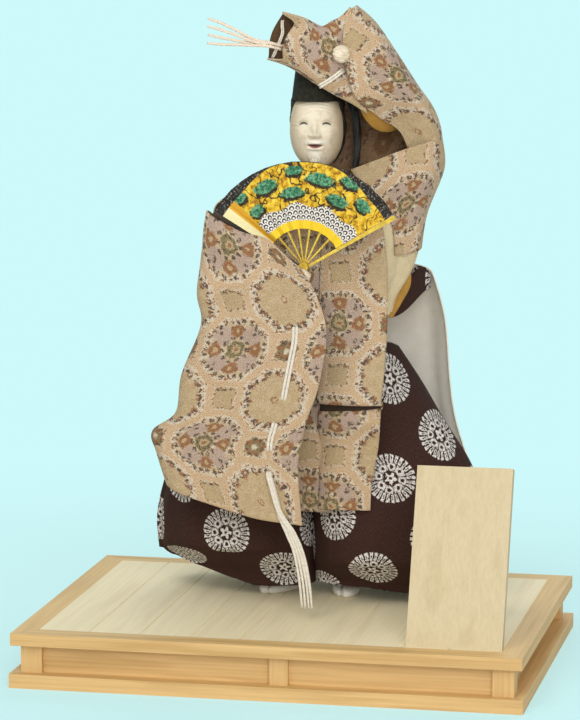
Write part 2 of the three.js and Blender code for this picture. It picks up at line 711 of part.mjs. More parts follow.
function foot(turn, x) {
  const rings = FOOT_ROWS.map(([rise, wide, toe]) => {
    const half = FOOT_HALF_WIDTH * wide;
    return sideRing([FOOT_HEIGHT * rise, 0, 0, half, half, FOOT_TOE * toe, FOOT_HEEL * wide], FOOT_SIDES);
  });
  return cut(loft(rings).rotateZ(turn).translate(x, ROD_Y, 0), ...rodBores(0));
}

const TORSO_GRID = [20, 7];
const TORSO = [
  [WAIST_Z + SEAT_GAP, 4, -4, 46, 44, 50, 66],
  [214, 4, -4, 46, 44, 52, 66],
  [236, 4, -4, 46, 44, 50, 50],
  [262, 5, -6, 44, 44, 46, 36],
  [285, 7, -8, 36, 42, 34, 28],
  [TORSO_TOP, HEAD_X, HEAD_Y, 17, 17, 14, 14],
];

function torso() {
  const neckBottom = TORSO_TOP - NECK_DEPTH - SEAT_GAP;
  const neckBore = upright(NECK_RADIUS + SEAT_GAP, HEAD_X, HEAD_Y, neckBottom, HEAD_Z);
  const bandClear = CLOTH / 2 + WAISTBAND_THICKNESS + 3 * SEAT_GAP;
  return cut(
    paddedForm(TORSO, ...TORSO_GRID),
    ...rodBores(0),
    neckBore,
    rightWire(SEAT_GAP),
    leftWire(SEAT_GAP),
    clothCut(robeChest, ROBE_FRONT_GRID[0], ROBE_CHEST_ROWS, -1),
    clothCut(robeBackSeat, ...ROBE_BACK_GRID, 1),
    clothCut(robeSide, ...ROBE_SIDE_GRID, -1),
    clothCut(backPanel, ...BACK_PANEL_GRID, 1),
    clothCut(backPanelTop, BACK_PANEL_GRID[0], 1, 1, bandClear),
  );
}

function body(parent) {
  const depthBelow = DECK_THICKNESS + BATTEN_THICKNESS;
  piece(parent, 'leg_rod_right', upright(ROD_RADIUS, ROD_X_RIGHT, ROD_Y, -depthBelow, ROD_TOP, 12), STEEL);
  piece(parent, 'leg_rod_left', upright(ROD_RADIUS, ROD_X_LEFT, ROD_Y, -depthBelow, ROD_TOP, 12), STEEL);
  piece(parent, 'foot_right', foot(FOOT_TURN_RIGHT, ROD_X_RIGHT), WHITE_CLOTH);
  piece(parent, 'foot_left', foot(FOOT_TURN_LEFT, ROD_X_LEFT), WHITE_CLOTH);
  piece(parent, 'torso', torso(), PADDING);
  piece(parent, 'arm_wire_right', rightWire(), STEEL);
  piece(parent, 'arm_wire_left', leftWire(), STEEL);
  const slotX = FAN_RIVET_RADIUS + SEAT_GAP;
  const slotY = FAN_RIVET_LENGTH / 2 + SEAT_GAP;
  const slot = box(-slotX, slotX, -slotY, slotY, -slotX, CUT_REACH).translate(FAN_X, FAN_Y, FAN_Z);
  piece(parent, 'hand_right', cut(ball(RIGHT_HAND), rightWire(SEAT_GAP), slot), IVORY);
  piece(parent, 'hand_left', cut(ball(LEFT_HAND), leftWire(SEAT_GAP)), IVORY);
}

// Trousers, robe, sleeves and cord ends
function clothes(parent) {
  piece(parent, 'hakama_right_leg', hakamaLeg(RIGHT_LEG, -1), CREST_CLOTH);
  piece(parent, 'hakama_left_leg', hakamaLeg(LEFT_LEG, 1), CREST_CLOTH);
  piece(parent, 'hakama_back_panel', cloth(backPanel, ...BACK_PANEL_GRID), CREST_CLOTH);
  const bandOuter = -(CLOTH / 2 + 2 * SEAT_GAP);
  const band = shellBetween(
    offset(backPanelTop, bandOuter - WAISTBAND_THICKNESS),
    offset(backPanelTop, bandOuter),
    BACK_PANEL_GRID[0],
    1,
  );
  piece(parent, 'waistband', band, CREST_CLOTH);
  piece(parent, 'robe_front', cloth(robeFront, ...ROBE_FRONT_GRID), BROCADE);
  piece(parent, 'robe_back', cloth(robeBack, ...ROBE_BACK_GRID), BROCADE);
  piece(parent, 'robe_side_left', cloth(robeSide, ...ROBE_SIDE_GRID), BROCADE);
  piece(parent, 'sleeve_right', cloth(rightSleeve, ...RIGHT_SLEEVE_GRID), BROCADE);
  piece(parent, 'sleeve_right_upper', cloth(rightUpperSleeve, ...RIGHT_UPPER_GRID, true), BROCADE);
  const gripped = (sleeve) => cut(sleeve, ball(LEFT_HAND, SEAT_GAP), leftWire(SEAT_GAP));
  piece(parent, 'sleeve_left_arm', gripped(cloth(leftSleeve, ...LEFT_SLEEVE_GRID)), BROCADE);
  piece(parent, 'sleeve_left_drape', gripped(cloth(leftDrape, ...LEFT_DRAPE_GRID, true)), BROCADE);
  piece(parent, 'sleeve_tail_right', tube(RIGHT_TAIL, TAIL_RADIUS, TAIL_STEPS), CORD_WHITE);
  piece(parent, 'sleeve_tail_left', tube(LEFT_TAIL, TAIL_RADIUS, TAIL_STEPS), CORD_WHITE);
  const collarRing = (radius, taper) => (u, v) => {
    const angle = -2 * Math.PI * u;
    const reach = radius - taper * v;
    const [x, y] = [HEAD_X + reach * Math.cos(angle), HEAD_Y + reach * Math.sin(angle)];
    return new THREE.Vector3(x, y, TORSO_TOP + COLLAR_HEIGHT * v);
  };
  const collarInner = collarRing(NECK_RADIUS + 2 * SEAT_GAP, 0);
  const collarOuter = collarRing(COLLAR_RADIUS, COLLAR_TAPER);
  piece(parent, 'collar', shellBetween(collarInner, collarOuter, ...COLLAR_GRID, true), WHITE_CLOTH);
}

// Head, with mask, hair, hat and the cord that ties the mask on
const MASK_REACH = degrees(82);
const MASK_LOW = degrees(-65);
const MASK_HIGH = degrees(66);
const MASK_GRID = [14, 12];
const HAIR_GRID = [14, 8];
const HAIR_START = degrees(86);
const HAIR_LOW = degrees(-50);
const CORD_LEVEL = degrees(8);
const CORD_POINTS = 17;
// Hat rows: height above the head's middle, half width, half depth, and how far back
const HAT = [
  [20, 18.5, 20, 0],
  [33, 18, 19, 3],
  [49, 16.5, 17, 6],
  [63, 13, 14, 9],
  [71, 7, 8, 10],
];
const HAT_SIDES = 18;
const HAT_STEPS = 7;
const HAT_SEAT_GRID = [28, 18];

// A point on the head, swung from straight ahead and raised, standing off the head by some distance
function headPoint(swing, rise, standOff) {
  const level = Math.cos(rise);
  return new THREE.Vector3(
    HEAD_X + (HEAD_HALF_WIDTH + standOff) * level * Math.sin(swing),
    HEAD_Y - (HEAD_HALF_DEPTH + standOff) * level * Math.cos(swing),
    HEAD_Z + (HEAD_HALF_HEIGHT + standOff) * Math.sin(rise),
  );
}

function mask() {
  const swing = (u) => lerp(MASK_REACH, -MASK_REACH, u);
  const rise = (v) => lerp(MASK_LOW, MASK_HIGH, v);
  const nose = (u, v) => {
    const aside = swing(u) / NOSE_HALF_WIDTH;
    const above = (rise(v) + NOSE_DROP) / NOSE_HALF_LENGTH;
    return NOSE_HEIGHT * Math.exp(-(aside ** 2) - above ** 2);
  };
  const inner = (u, v) => headPoint(swing(u), rise(v), SEAT_GAP);
  const outer = (u, v) => headPoint(swing(u), rise(v), SEAT_GAP + MASK_THICKNESS + nose(u, v));
  return shellBetween(inner, outer, ...MASK_GRID);
}

function hair() {
  const swing = (u) => lerp(2 * Math.PI - HAIR_START, HAIR_START, u);
  const rise = (v) => lerp(HAIR_LOW, MASK_HIGH, v);
  const layer = (standOff) => (u, v) => headPoint(swing(u), rise(v), standOff);
  return shellBetween(layer(SEAT_GAP), layer(SEAT_GAP + HAIR_THICKNESS), ...HAIR_GRID);
}

function head(parent) {
  const skullRadii = (grow) => [HEAD_HALF_WIDTH + grow, HEAD_HALF_DEPTH + grow, HEAD_HALF_HEIGHT + grow];
  const skullCentre = [HEAD_X, HEAD_Y, HEAD_Z];
  const peg = upright(NECK_RADIUS, HEAD_X, HEAD_Y, TORSO_TOP - NECK_DEPTH, HEAD_Z);
  piece(parent, 'head', join(ellipsoid(skullCentre, skullRadii(0)), peg), IVORY);
  piece(parent, 'mask', mask(), IVORY);
  piece(parent, 'hair', hair(), BLACK);
  const hatRing = (station) => {
    const [above, halfWidth, halfDepth, back] = station;
    const reach = [halfWidth, halfWidth, halfDepth, halfDepth];
    return sideRing([HEAD_Z + above, HEAD_X, HEAD_Y + back, ...reach], HAT_SIDES);
  };
  const hatForm = loft(Array.from({ length: HAT_STEPS + 1 }, (_, k) => hatRing(along(HAT, k / HAT_STEPS))));
  const capped = HAIR_THICKNESS + 2 * SEAT_GAP;
  piece(parent, 'hat', cut(hatForm, ellipsoid(skullCentre, skullRadii(capped), ...HAT_SEAT_GRID)), BLACK);
  const cordOut = capped + MASK_CORD_RADIUS;
  const cordPath = Array.from({ length: CORD_POINTS }, (_, k) => {
    const swing = lerp(HAIR_START, 2 * Math.PI - HAIR_START, k / (CORD_POINTS - 1));
    return headPoint(swing, CORD_LEVEL, cordOut).toArray();
  });
  piece(parent, 'mask_cord', tube(cordPath, MASK_CORD_RADIUS, CORD_POINTS), CORD_WHITE);
}

// Fan: a pleated leaf on thin ribs between two guards, all turning on one rivet
const RIB_START = FAN_RIVET_RADIUS + SEAT_GAP;
const RIB_START_WIDTH = 0.8;
const RIB_END_WIDTH = 2.4;
const RIB_REACH = 0.92;
const RIB_END = FAN_RADIUS * RIB_REACH;
const RIB_FRONT = FAN_Y + FAN_PLEAT_DEPTH + FAN_PAPER / 2 + SEAT_GAP;

// A point in the fan's plane: out from the rivet at an angle from upright, then sideways
function fanPoint(angle, radius, aside = 0) {
  const x = FAN_X + radius * Math.sin(angle) + aside * Math.cos(angle);
  return [x, FAN_Z + radius * Math.cos(angle) - aside * Math.sin(angle)];
}

function fanLeaf() {
  const face = (shift) => (u, v) => {
    const [x, z] = fanPoint((u - 0.5) * FAN_SPREAD, lerp(FAN_RADIUS, FAN_LEAF_INNER, v));
    const pleat = Math.round(u * FAN_PLEATS) % 2 === 0 ? -FAN_PLEAT_DEPTH : FAN_PLEAT_DEPTH;
    return new THREE.Vector3(x, FAN_Y + pleat + shift, z);
  };
  return shellBetween(face(FAN_PAPER / 2), face(-FAN_PAPER / 2), FAN_PLEATS, 1);
}

function fan(parent) {
  piece(parent, 'fan_leaf', fanLeaf(), GOLD);
  for (let rib = 1; rib <= FAN_RIB_COUNT; rib += 1) {
    const angle = (rib / (FAN_RIB_COUNT + 1) - 0.5) * FAN_SPREAD;
    const outline = [
      fanPoint(angle, RIB_START, -RIB_START_WIDTH / 2),
      fanPoint(angle, RIB_START, RIB_START_WIDTH / 2),
      fanPoint(angle, RIB_END, RIB_END_WIDTH / 2),
      fanPoint(angle, RIB_END, -RIB_END_WIDTH / 2),
    ];
    piece(parent, `fan_rib_${rib}`, prismAlongY(outline, RIB_FRONT, RIB_FRONT + FAN_RIB_THICKNESS), GOLD);
  }
  for (const [name, side] of [['fan_guard_left', -1], ['fan_guard_right', 1]]) {
    const angle = (side * FAN_SPREAD) / 2;
    const outline = [
      fanPoint(angle, RIB_START, side * SEAT_GAP),
      fanPoint(angle, FAN_RADIUS, side * SEAT_GAP),
      fanPoint(angle, FAN_RADIUS, side * (SEAT_GAP + FAN_GUARD_WIDTH)),
      fanPoint(angle, RIB_START, side * (SEAT_GAP + FAN_GUARD_WIDTH / 2)),
    ];
    const [y0, y1] = [FAN_Y - FAN_GUARD_THICKNESS / 2, FAN_Y + FAN_GUARD_THICKNESS / 2];
    piece(parent, name, prismAlongY(outline, y0, y1), GOLD);
  }
  const rivet = new THREE.CylinderGeometry(FAN_RIVET_RADIUS, FAN_RIVET_RADIUS, FAN_RIVET_LENGTH, 16);
  piece(parent, 'fan_rivet', rivet.translate(FAN_X, FAN_Y, FAN_Z), GOLD);
}

// The whole object
const object = new THREE.Group();
stand(object);
plaque(object);
const doll = new THREE.Group();
doll.position.set(0, DOLL_Y, DECK_TOP);
body(doll);
clothes(doll);
head(doll);
fan(doll);
object.add(doll);

export default object;
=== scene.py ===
import math

import bpy
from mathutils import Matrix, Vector, noise


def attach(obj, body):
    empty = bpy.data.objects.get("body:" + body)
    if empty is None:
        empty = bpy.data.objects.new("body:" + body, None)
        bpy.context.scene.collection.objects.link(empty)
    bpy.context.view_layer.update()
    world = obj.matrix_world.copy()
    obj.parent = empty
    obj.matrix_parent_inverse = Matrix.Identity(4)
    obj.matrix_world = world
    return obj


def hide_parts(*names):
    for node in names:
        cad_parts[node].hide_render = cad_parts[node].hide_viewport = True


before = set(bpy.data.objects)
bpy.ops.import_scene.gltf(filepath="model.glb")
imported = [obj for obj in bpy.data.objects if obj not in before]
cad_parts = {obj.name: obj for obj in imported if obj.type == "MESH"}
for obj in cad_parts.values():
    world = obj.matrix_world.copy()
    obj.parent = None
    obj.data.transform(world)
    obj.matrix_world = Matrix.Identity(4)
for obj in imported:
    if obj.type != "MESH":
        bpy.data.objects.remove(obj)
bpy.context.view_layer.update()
MM = 0.001
TURN = 2 * math.pi

# Sizes that repeat part.mjs, in millimetres from the doll's own spot on the deck
DECK_TOP = 38.5
DOLL_Y = 38
CLOTH = 0.9

# Robe front: height, depth and right edge. Robe back: height, depth in the middle and at the ends, both ends
ROBE_FRONT = [
    [304, -32, 46], [285, -40, 56], [250, -49, 63], [215, -53, 64.6], [180, -55, 63], [158, -58.5, 62],
]
ROBE_FOOT = [[120, -52.5, 58], [93, -54, 53.6], [73, -54, 52.5]]
ROBE_BACK = [
    [305, 12, -12, -34, 48], [280, 30, -6, -50, 60], [250, 36, -2, -56, 60], [225, 34, -2, -54, 56],
    [204, 30, 0, -48, 52],
]
# Stiff back: height in the middle and at the ends, centre, reach left and right, front, depth, half turn
BACK_PANEL = [
    [238, 206, 8, 76, 70, 16, 40, 115], [190, 190, 9, 82, 83, 20, 42, 105], [120, 120, 6, 92, 95, 24, 42, 90],
    [60, 60, 4, 104, 110, 26, 44, 84], [16, 16, 4, 106, 114, 27, 46, 80],
]
BACK_PANEL_BOXINESS = 0.75
# Legs and body: height, centre, then reach to the left, right, front and back
RIGHT_LEG = [
    [37, -38, -3, 72, 39, 47, 40], [60, -39, -3, 71, 40, 47, 42], [95, -37, -2, 64, 38, 43, 42],
    [140, -31, 0, 50, 32, 40, 40], [186, -24, 0, 36, 25, 34, 36],
]
LEFT_LEG = [
    [30, 44, -3, 38, 74, 46, 38], [60, 46, -3, 40, 76, 47, 40], [98, 44, -2, 38, 71, 43, 40],
    [140, 35, 0, 30, 54, 40, 38], [186, 26, 0, 22, 32, 34, 34],
]
TORSO = [
    [186.3, 4, -4, 46, 44, 50, 66], [214, 4, -4, 46, 44, 52, 66], [236, 4, -4, 46, 44, 50, 50],
    [262, 5, -6, 44, 44, 46, 36], [285, 7, -8, 36, 42, 34, 28], [303, 6.9, -16, 17, 17, 14, 14],
]
SLEEVE_Y = -74
SLEEVE_HALF = 10
# Hanging sleeve: its fold and its open edge, each across and up
RIGHT_SLEEVE = [
    [-60, 287, 8, 250], [-66.5, 231, 20, 230], [-64.5, 206, 27, 204], [-78, 171, 22, 168],
    [-83, 143, 13, 141], [-100, 129, 8.5, 120], [-97, 114, 7, 104], [-90, 92, 10, 67],
]
FOLD_SHARE = 0.16
FOLD_CROWDING = 1.3
RIGHT_TAIL_Y = -86.9
RIGHT_TAIL = [(-14, 105), (-10.7, 94), (-5.4, 76), (2, 62.5), (8.2, 48), (12.2, 28), (14.2, 8.5)]
LEFT_TAIL = [(-21.4, -48.5, 402), (-32, -48, 403), (-44, -47, 406), (-56, -46, 409), (-66, -45, 411)]
RIGHT_HAND = (8, -74, 243)
LEFT_HAND = (31, -50.5, 396)
HAND_RADIUS = 6.5
HEAD = (6.9, -16, 339)
HEAD_HALF = (17, 17, 24)
HAT = [[20, 18.5, 20, 0], [33, 18, 19, 3], [49, 16.5, 17, 6], [63, 13, 14, 9], [71, 7, 8, 10]]
FAN = (9, -74, 249)


# Small helpers for shapes
def lerp(start, end, share):
    return start + (end - start) * share


def clamp(value, low=0.0, high=1.0):
    return min(max(value, low), high)


def smooth(low, high, value):
    share = clamp((value - low) / (high - low))
    return share * share * (3 - 2 * share)


def hill(value, middle, half):
    return math.exp(-((value - middle) / half) ** 2)


def creases(x, z, seed, grain=26.0):
    """Small uneven folds, from -1 to 1 and the same each run."""
    return noise.noise(Vector((x / grain, z / (grain * 2.4), seed)))


def spot(point):
    """A point in the doll's millimetres, as a place in the shared frame."""
    return Vector((point[0] * MM, (point[1] + DOLL_Y) * MM, (point[2] + DECK_TOP) * MM))


def along(stations, share):
    """A smooth value between given stations, each a list of numbers."""
    last = len(stations) - 1
    index = min(int(share * last), last - 1)
    step = share * last - index
    rows = [stations[int(clamp(index + k, 0, last))] for k in (-1, 0, 1, 2)]
    values = []
    for before, start, end, after in zip(*rows):
        leave = (end - before) / 2
        arrive = (after - start) / 2
        change = end - start
        bend = 3 * change - 2 * leave - arrive
        twist = leave + arrive - 2 * change
        values.append(start + step * (leave + step * (bend + step * twist)))
    return values


def smooth_path(points, steps):
    """Even-stepped points on one smooth curve through the given ones."""
    return [Vector(along([list(point) for point in points], k / steps)) for k in range(steps + 1)]


def lengths(points):
    """How far each point of a run lies from its start, along the run."""
    run = [0.0]
    for before, after in zip(points, points[1:]):
        run.append(run[-1] + (after - before).length)
    return run


# Meshes and pieces
def finish_piece(name, mesh, body, materials):
    """A mesh becomes a named piece on a body, with its materials."""
    piece = bpy.data.objects.new(name, mesh)
    bpy.context.scene.collection.objects.link(piece)
    for material in materials:
        mesh.materials.append(material)
    mesh.polygons.foreach_set("use_smooth", [True] * len(mesh.polygons))
    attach(piece, body)
    return piece


def thicken(piece, thickness, offset):
    solid = piece.modifiers.new("thickness", "SOLIDIFY")
    solid.thickness = thickness * MM
    solid.offset = offset
    return solid


def cloth_mesh(name, points, faces, corners):
    """A mesh whose UVs lie in millimetres on the flat cloth, one for each corner of each face."""
    mesh = bpy.data.meshes.new(name)
    mesh.from_pydata(points, [], faces)
    layer = mesh.uv_layers.new(name="cloth")
    layer.data.foreach_set("uv", [value for corner in corners for value in corner])
    mesh.update()
    return mesh


def grid_mesh(name, surface, columns, rows, wrap=False, flip=False, anchor=(0.5, 0.0), turn=0.0, shift=(0, 0),
              plane=None):
    """A sheet on a surface of doll millimetres. Its UVs are millimetres along the flat cloth from the anchor,
    turned and shifted as the pattern lies on it, or what plane says."""
    grid = [[Vector(surface(c / columns, r / rows)) for c in range(columns + 1)] for r in range(rows + 1)]
    anchor_column = round(anchor[0] * columns)
    anchor_row = round(anchor[1] * rows)
    down = lengths([row[anchor_column] for row in grid])
    cos, sin = math.cos(turn), math.sin(turn)
    flat = []
    widest = 0.0
    for r in range(rows + 1):
        across = lengths(grid[r])
        widest = max(widest, across[-1])
        y = down[anchor_row] - down[r]
        row = []
        for c in range(columns + 1):
            x = across[c] - across[anchor_column]
            row.append((x * cos - y * sin + shift[0], x * sin + y * cos + shift[1]))
        flat.append([plane(c / columns, r / rows) for c in range(columns + 1)] if plane else row)
    count = columns if wrap else columns + 1
    points = [spot(grid[r][c]) for r in range(rows + 1) for c in range(count)]
    faces, corners = [], []
    for r in range(rows):
        for c in range(columns):
            quad = [(r, c), (r + 1, c), (r + 1, c + 1), (r, c + 1)]
            if flip:
                quad.reverse()
            faces.append([row * count + column % count for row, column in quad])
            corners.extend(flat[row][column] for row, column in quad)
    mesh = cloth_mesh(name, points, faces, corners)
    mesh["flat"] = (widest * MM, down[-1] * MM)
    return mesh


def cloth_piece(name, node, materials, surface, steps, held, rests_on, slot="brocade", thickness=CLOTH,
                **options):
    """A sheet of cloth with two faces. The first material faces out, the second lines it and a third one
    is for its edges."""
    mesh = grid_mesh(name, surface, *steps, **options)
    piece = finish_piece(name, mesh, "stand", materials)
    solid = thicken(piece, thickness, 0)
    solid.material_offset = 1
    solid.material_offset_rim = 2 if len(materials) > 2 else 0
    if node:
        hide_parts(node)
    width, length = mesh["flat"]
    area = sum(face.area for face in mesh.polygons)
    max(length, area / width)


def loft_mesh(name, rings):
    """A closed mesh through rings of places, with UVs in millimetres round and up it."""
    count = len(rings[0])
    last = len(rings) - 1
    up = [run / MM for run in lengths([ring[0] for ring in rings])]
    faces, corners = [], []
    for r in range(last):
        girth = sum((rings[r][k] - rings[r][k - 1]).length for k in range(count)) / MM
        for k in range(count):
            quad = [(r, k), (r, k + 1), (r + 1, k + 1), (r + 1, k)]
            faces.append([row * count + column % count for row, column in quad])
            corners.extend((girth * column / count, up[row]) for row, column in quad)
    for r, order in ((0, range(count - 1, -1, -1)), (last, range(count))):
        faces.append([r * count + k for k in order])
        corners.extend((0.0, up[r]) for _ in range(count))
    return cloth_mesh(name, [point for ring in rings for point in ring], faces, corners)


def rope_mesh(name, path, radius, sides=10, plies=2, pitch=4.0, depth=0.16, taper=0.0):
    """A twisted rope along a path of places, with flat ends; pitch is one ply's turn in diameters."""
    rings = []
    side = Vector((0.31, 0.87, 0.38))
    last = len(path) - 1
    for k, (point, run) in enumerate(zip(path, lengths(path))):
        ahead = (path[min(k + 1, last)] - path[max(k - 1, 0)]).normalized()
        side = (side - ahead * side.dot(ahead)).normalized()
        other = ahead.cross(side)
        twist = TURN * run / (2 * radius * pitch)
        thick = radius * (1 - taper * smooth(0.8, 1.0, k / last))
        ring = []
        for j in range(sides):
            angle = TURN * j / sides
            reach = thick * (1 - depth * (0.5 - 0.5 * math.cos(plies * (angle - twist))))
            ring.append(point + side * (reach * math.cos(angle)) + other * (reach * math.sin(angle)))
        rings.append(ring)
    return loft_mesh(name, rings)


# Materials. Colours are in linear light
class Value:
    """What comes out of a node, to be reckoned with like a number."""

    def __init__(self, paint, socket):
        self.paint = paint
        self.socket = socket

    def __add__(self, other):
        return self.paint.math("ADD", self, other)

    def __sub__(self, other):
        return self.paint.math("SUBTRACT", self, other)

    def __rsub__(self, other):
        return self.paint.math("SUBTRACT", other, self)

    def __mul__(self, other):
        return self.paint.math("MULTIPLY", self, other)

    def __lt__(self, other):
        return self.paint.math("LESS_THAN", self, other)

    def __abs__(self):
        return self.paint.math("ABSOLUTE", self)

    __radd__ = __add__


class Paint:
    """A node material in the making: each method adds nodes and gives back what comes out."""

    def __init__(self, name):
        self.material = bpy.data.materials.new(name)
        self.material.use_nodes = True
        self.tree = self.material.node_tree
        self.shader = self.tree.nodes["Principled BSDF"]

    def feed(self, socket, value):
        if isinstance(value, Value):
            self.tree.links.new(value.socket, socket)
        elif socket.type == "RGBA":
            socket.default_value = (*value, 1.0)
        else:
            socket.default_value = value

    def set(self, **values):
        for name, value in values.items():
            self.feed(self.shader.inputs[name.replace("_", " ")], value)

    def node(self, kind, inputs, output=0, **settings):
        """One node; inputs has a value for the name or number of each socket that is fed."""
        node = self.tree.nodes.new(f"ShaderNode{kind}")
        for name, value in settings.items():
            setattr(node, name, value)
        for key, value in inputs.items():
            self.feed(node.inputs[key], value)
        return Value(self, node.outputs[output])

    def math(self, operation, *values):
        return self.node("Math", dict(enumerate(values)), operation=operation)

    def sine(self, value):
        return self.math("SINE", value)

    def most(self, first, *others):
        for other in others:
            first = self.math("MAXIMUM", first, other)
        return first

    def length(self, first, second):
        return self.math("SQRT", first * first + second * second)

    def wrap(self, value, shift=0.0):
        return self.math("WRAP", value - shift, 0.5, -0.5)

    def below(self, value, edge, soft):
        """1 where the value is below the edge, 0 above it."""
        ends = {"From Min": edge - soft, "From Max": edge + soft, "To Min": 1.0, "To Max": 0.0}
        return self.node("MapRange", {"Value": value, **ends}, interpolation_type="SMOOTHSTEP")

    def above(self, value, edge, soft):
        return 1.0 - self.below(value, edge, soft)

    def near(self, value, middle, half, soft):
        return self.below(abs(value - middle), half, soft)

    def dots(self, gap, angle, reach, count, size, phase=0.0):
        """1 inside each of a ring of dots; gap is the distance from the ring."""
        arc = self.wrap(angle * (count / TURN), phase) * (TURN * reach / count)
        return self.below(self.length(gap, arc), size, 0.25 * size)

    def mix(self, share, first, second):
        return self.node("Mix", {0: share, 6: first, 7: second}, output=2, data_type="RGBA")

    def layers(self, base, *coats):
        """The base under coats of colour, each laid where its mask is 1."""
        for mask, tint in coats:
            base = self.mix(mask, base, tint)
        return base

    def ramp(self, value, *stops):
        colour = self.node("ValToRGB", {0: value})
        marks = colour.socket.node.color_ramp.elements
        while len(marks) < len(stops):
            marks.new(1.0)
        for mark, (place, tint) in zip(marks, stops):
            mark.position = place
            mark.color = (*tint, 1.0)
        return colour

    def cloth(self):
        """Millimetres across and along the flat cloth."""
        return self.node("UVMap", {}, uv_map="cloth")

    def place(self):
        """The place on the piece itself, in metres."""
        return self.node("TexCoord", {}, output="Object")

    def parts(self, vector):
        node = self.node("SeparateXYZ", {0: vector}).socket.node
        return [Value(self, output) for output in node.outputs]

    def scaled(self, vector, factors):
        return self.node("VectorMath", {0: vector, 1: factors}, operation="MULTIPLY")

    def moved(self, vector, amount):
        return self.node("VectorMath", {0: vector, 1: amount}, operation="ADD")

    def noise(self, vector, scale, detail=2.0, rough=0.55, output=0):
        inputs = {"Vector": vector, "Scale": scale, "Detail": detail, "Roughness": rough}
        return self.node("TexNoise", inputs, output)

    def ragged(self, vector, scale, reach):
        """The vector, pushed about by noise of that scale by up to half the reach."""
        centred = self.moved(self.noise(vector, scale, 1.0, 0.5, output=1), (-0.5, -0.5, -0.5))
        return self.moved(vector, self.scaled(centred, (reach, reach, 0.0)))

    def bump(self, height, strength, distance):
        self.set(Normal=self.node("Bump", {"Strength": strength, "Distance": distance, "Height": height}))

    def weave(self, plane, thread):
        """Height of a plain weave of that thread width, over the flat cloth."""
        x, y, _ = self.parts(plane)
        crossing = self.sine(x * (math.pi / thread)) * self.sine(y * (math.pi / thread))
        return crossing + self.noise(plane, 0.9 / thread, 1.0)


BEIGE = (0.53, 0.405, 0.235)
OCHRE = (0.46, 0.345, 0.185)
PEACH = (0.57, 0.4, 0.235)
PALE = (0.635, 0.55, 0.41)
MAUVE = (0.44, 0.33, 0.26)
BROWN = (0.26, 0.1, 0.03)
DARK = (0.05, 0.028, 0.024)
OLIVE = (0.17, 0.145, 0.06)
RUST = (0.3, 0.13, 0.03)
BROCADE_PITCH = 73.0
OCTAGON = 0.35355


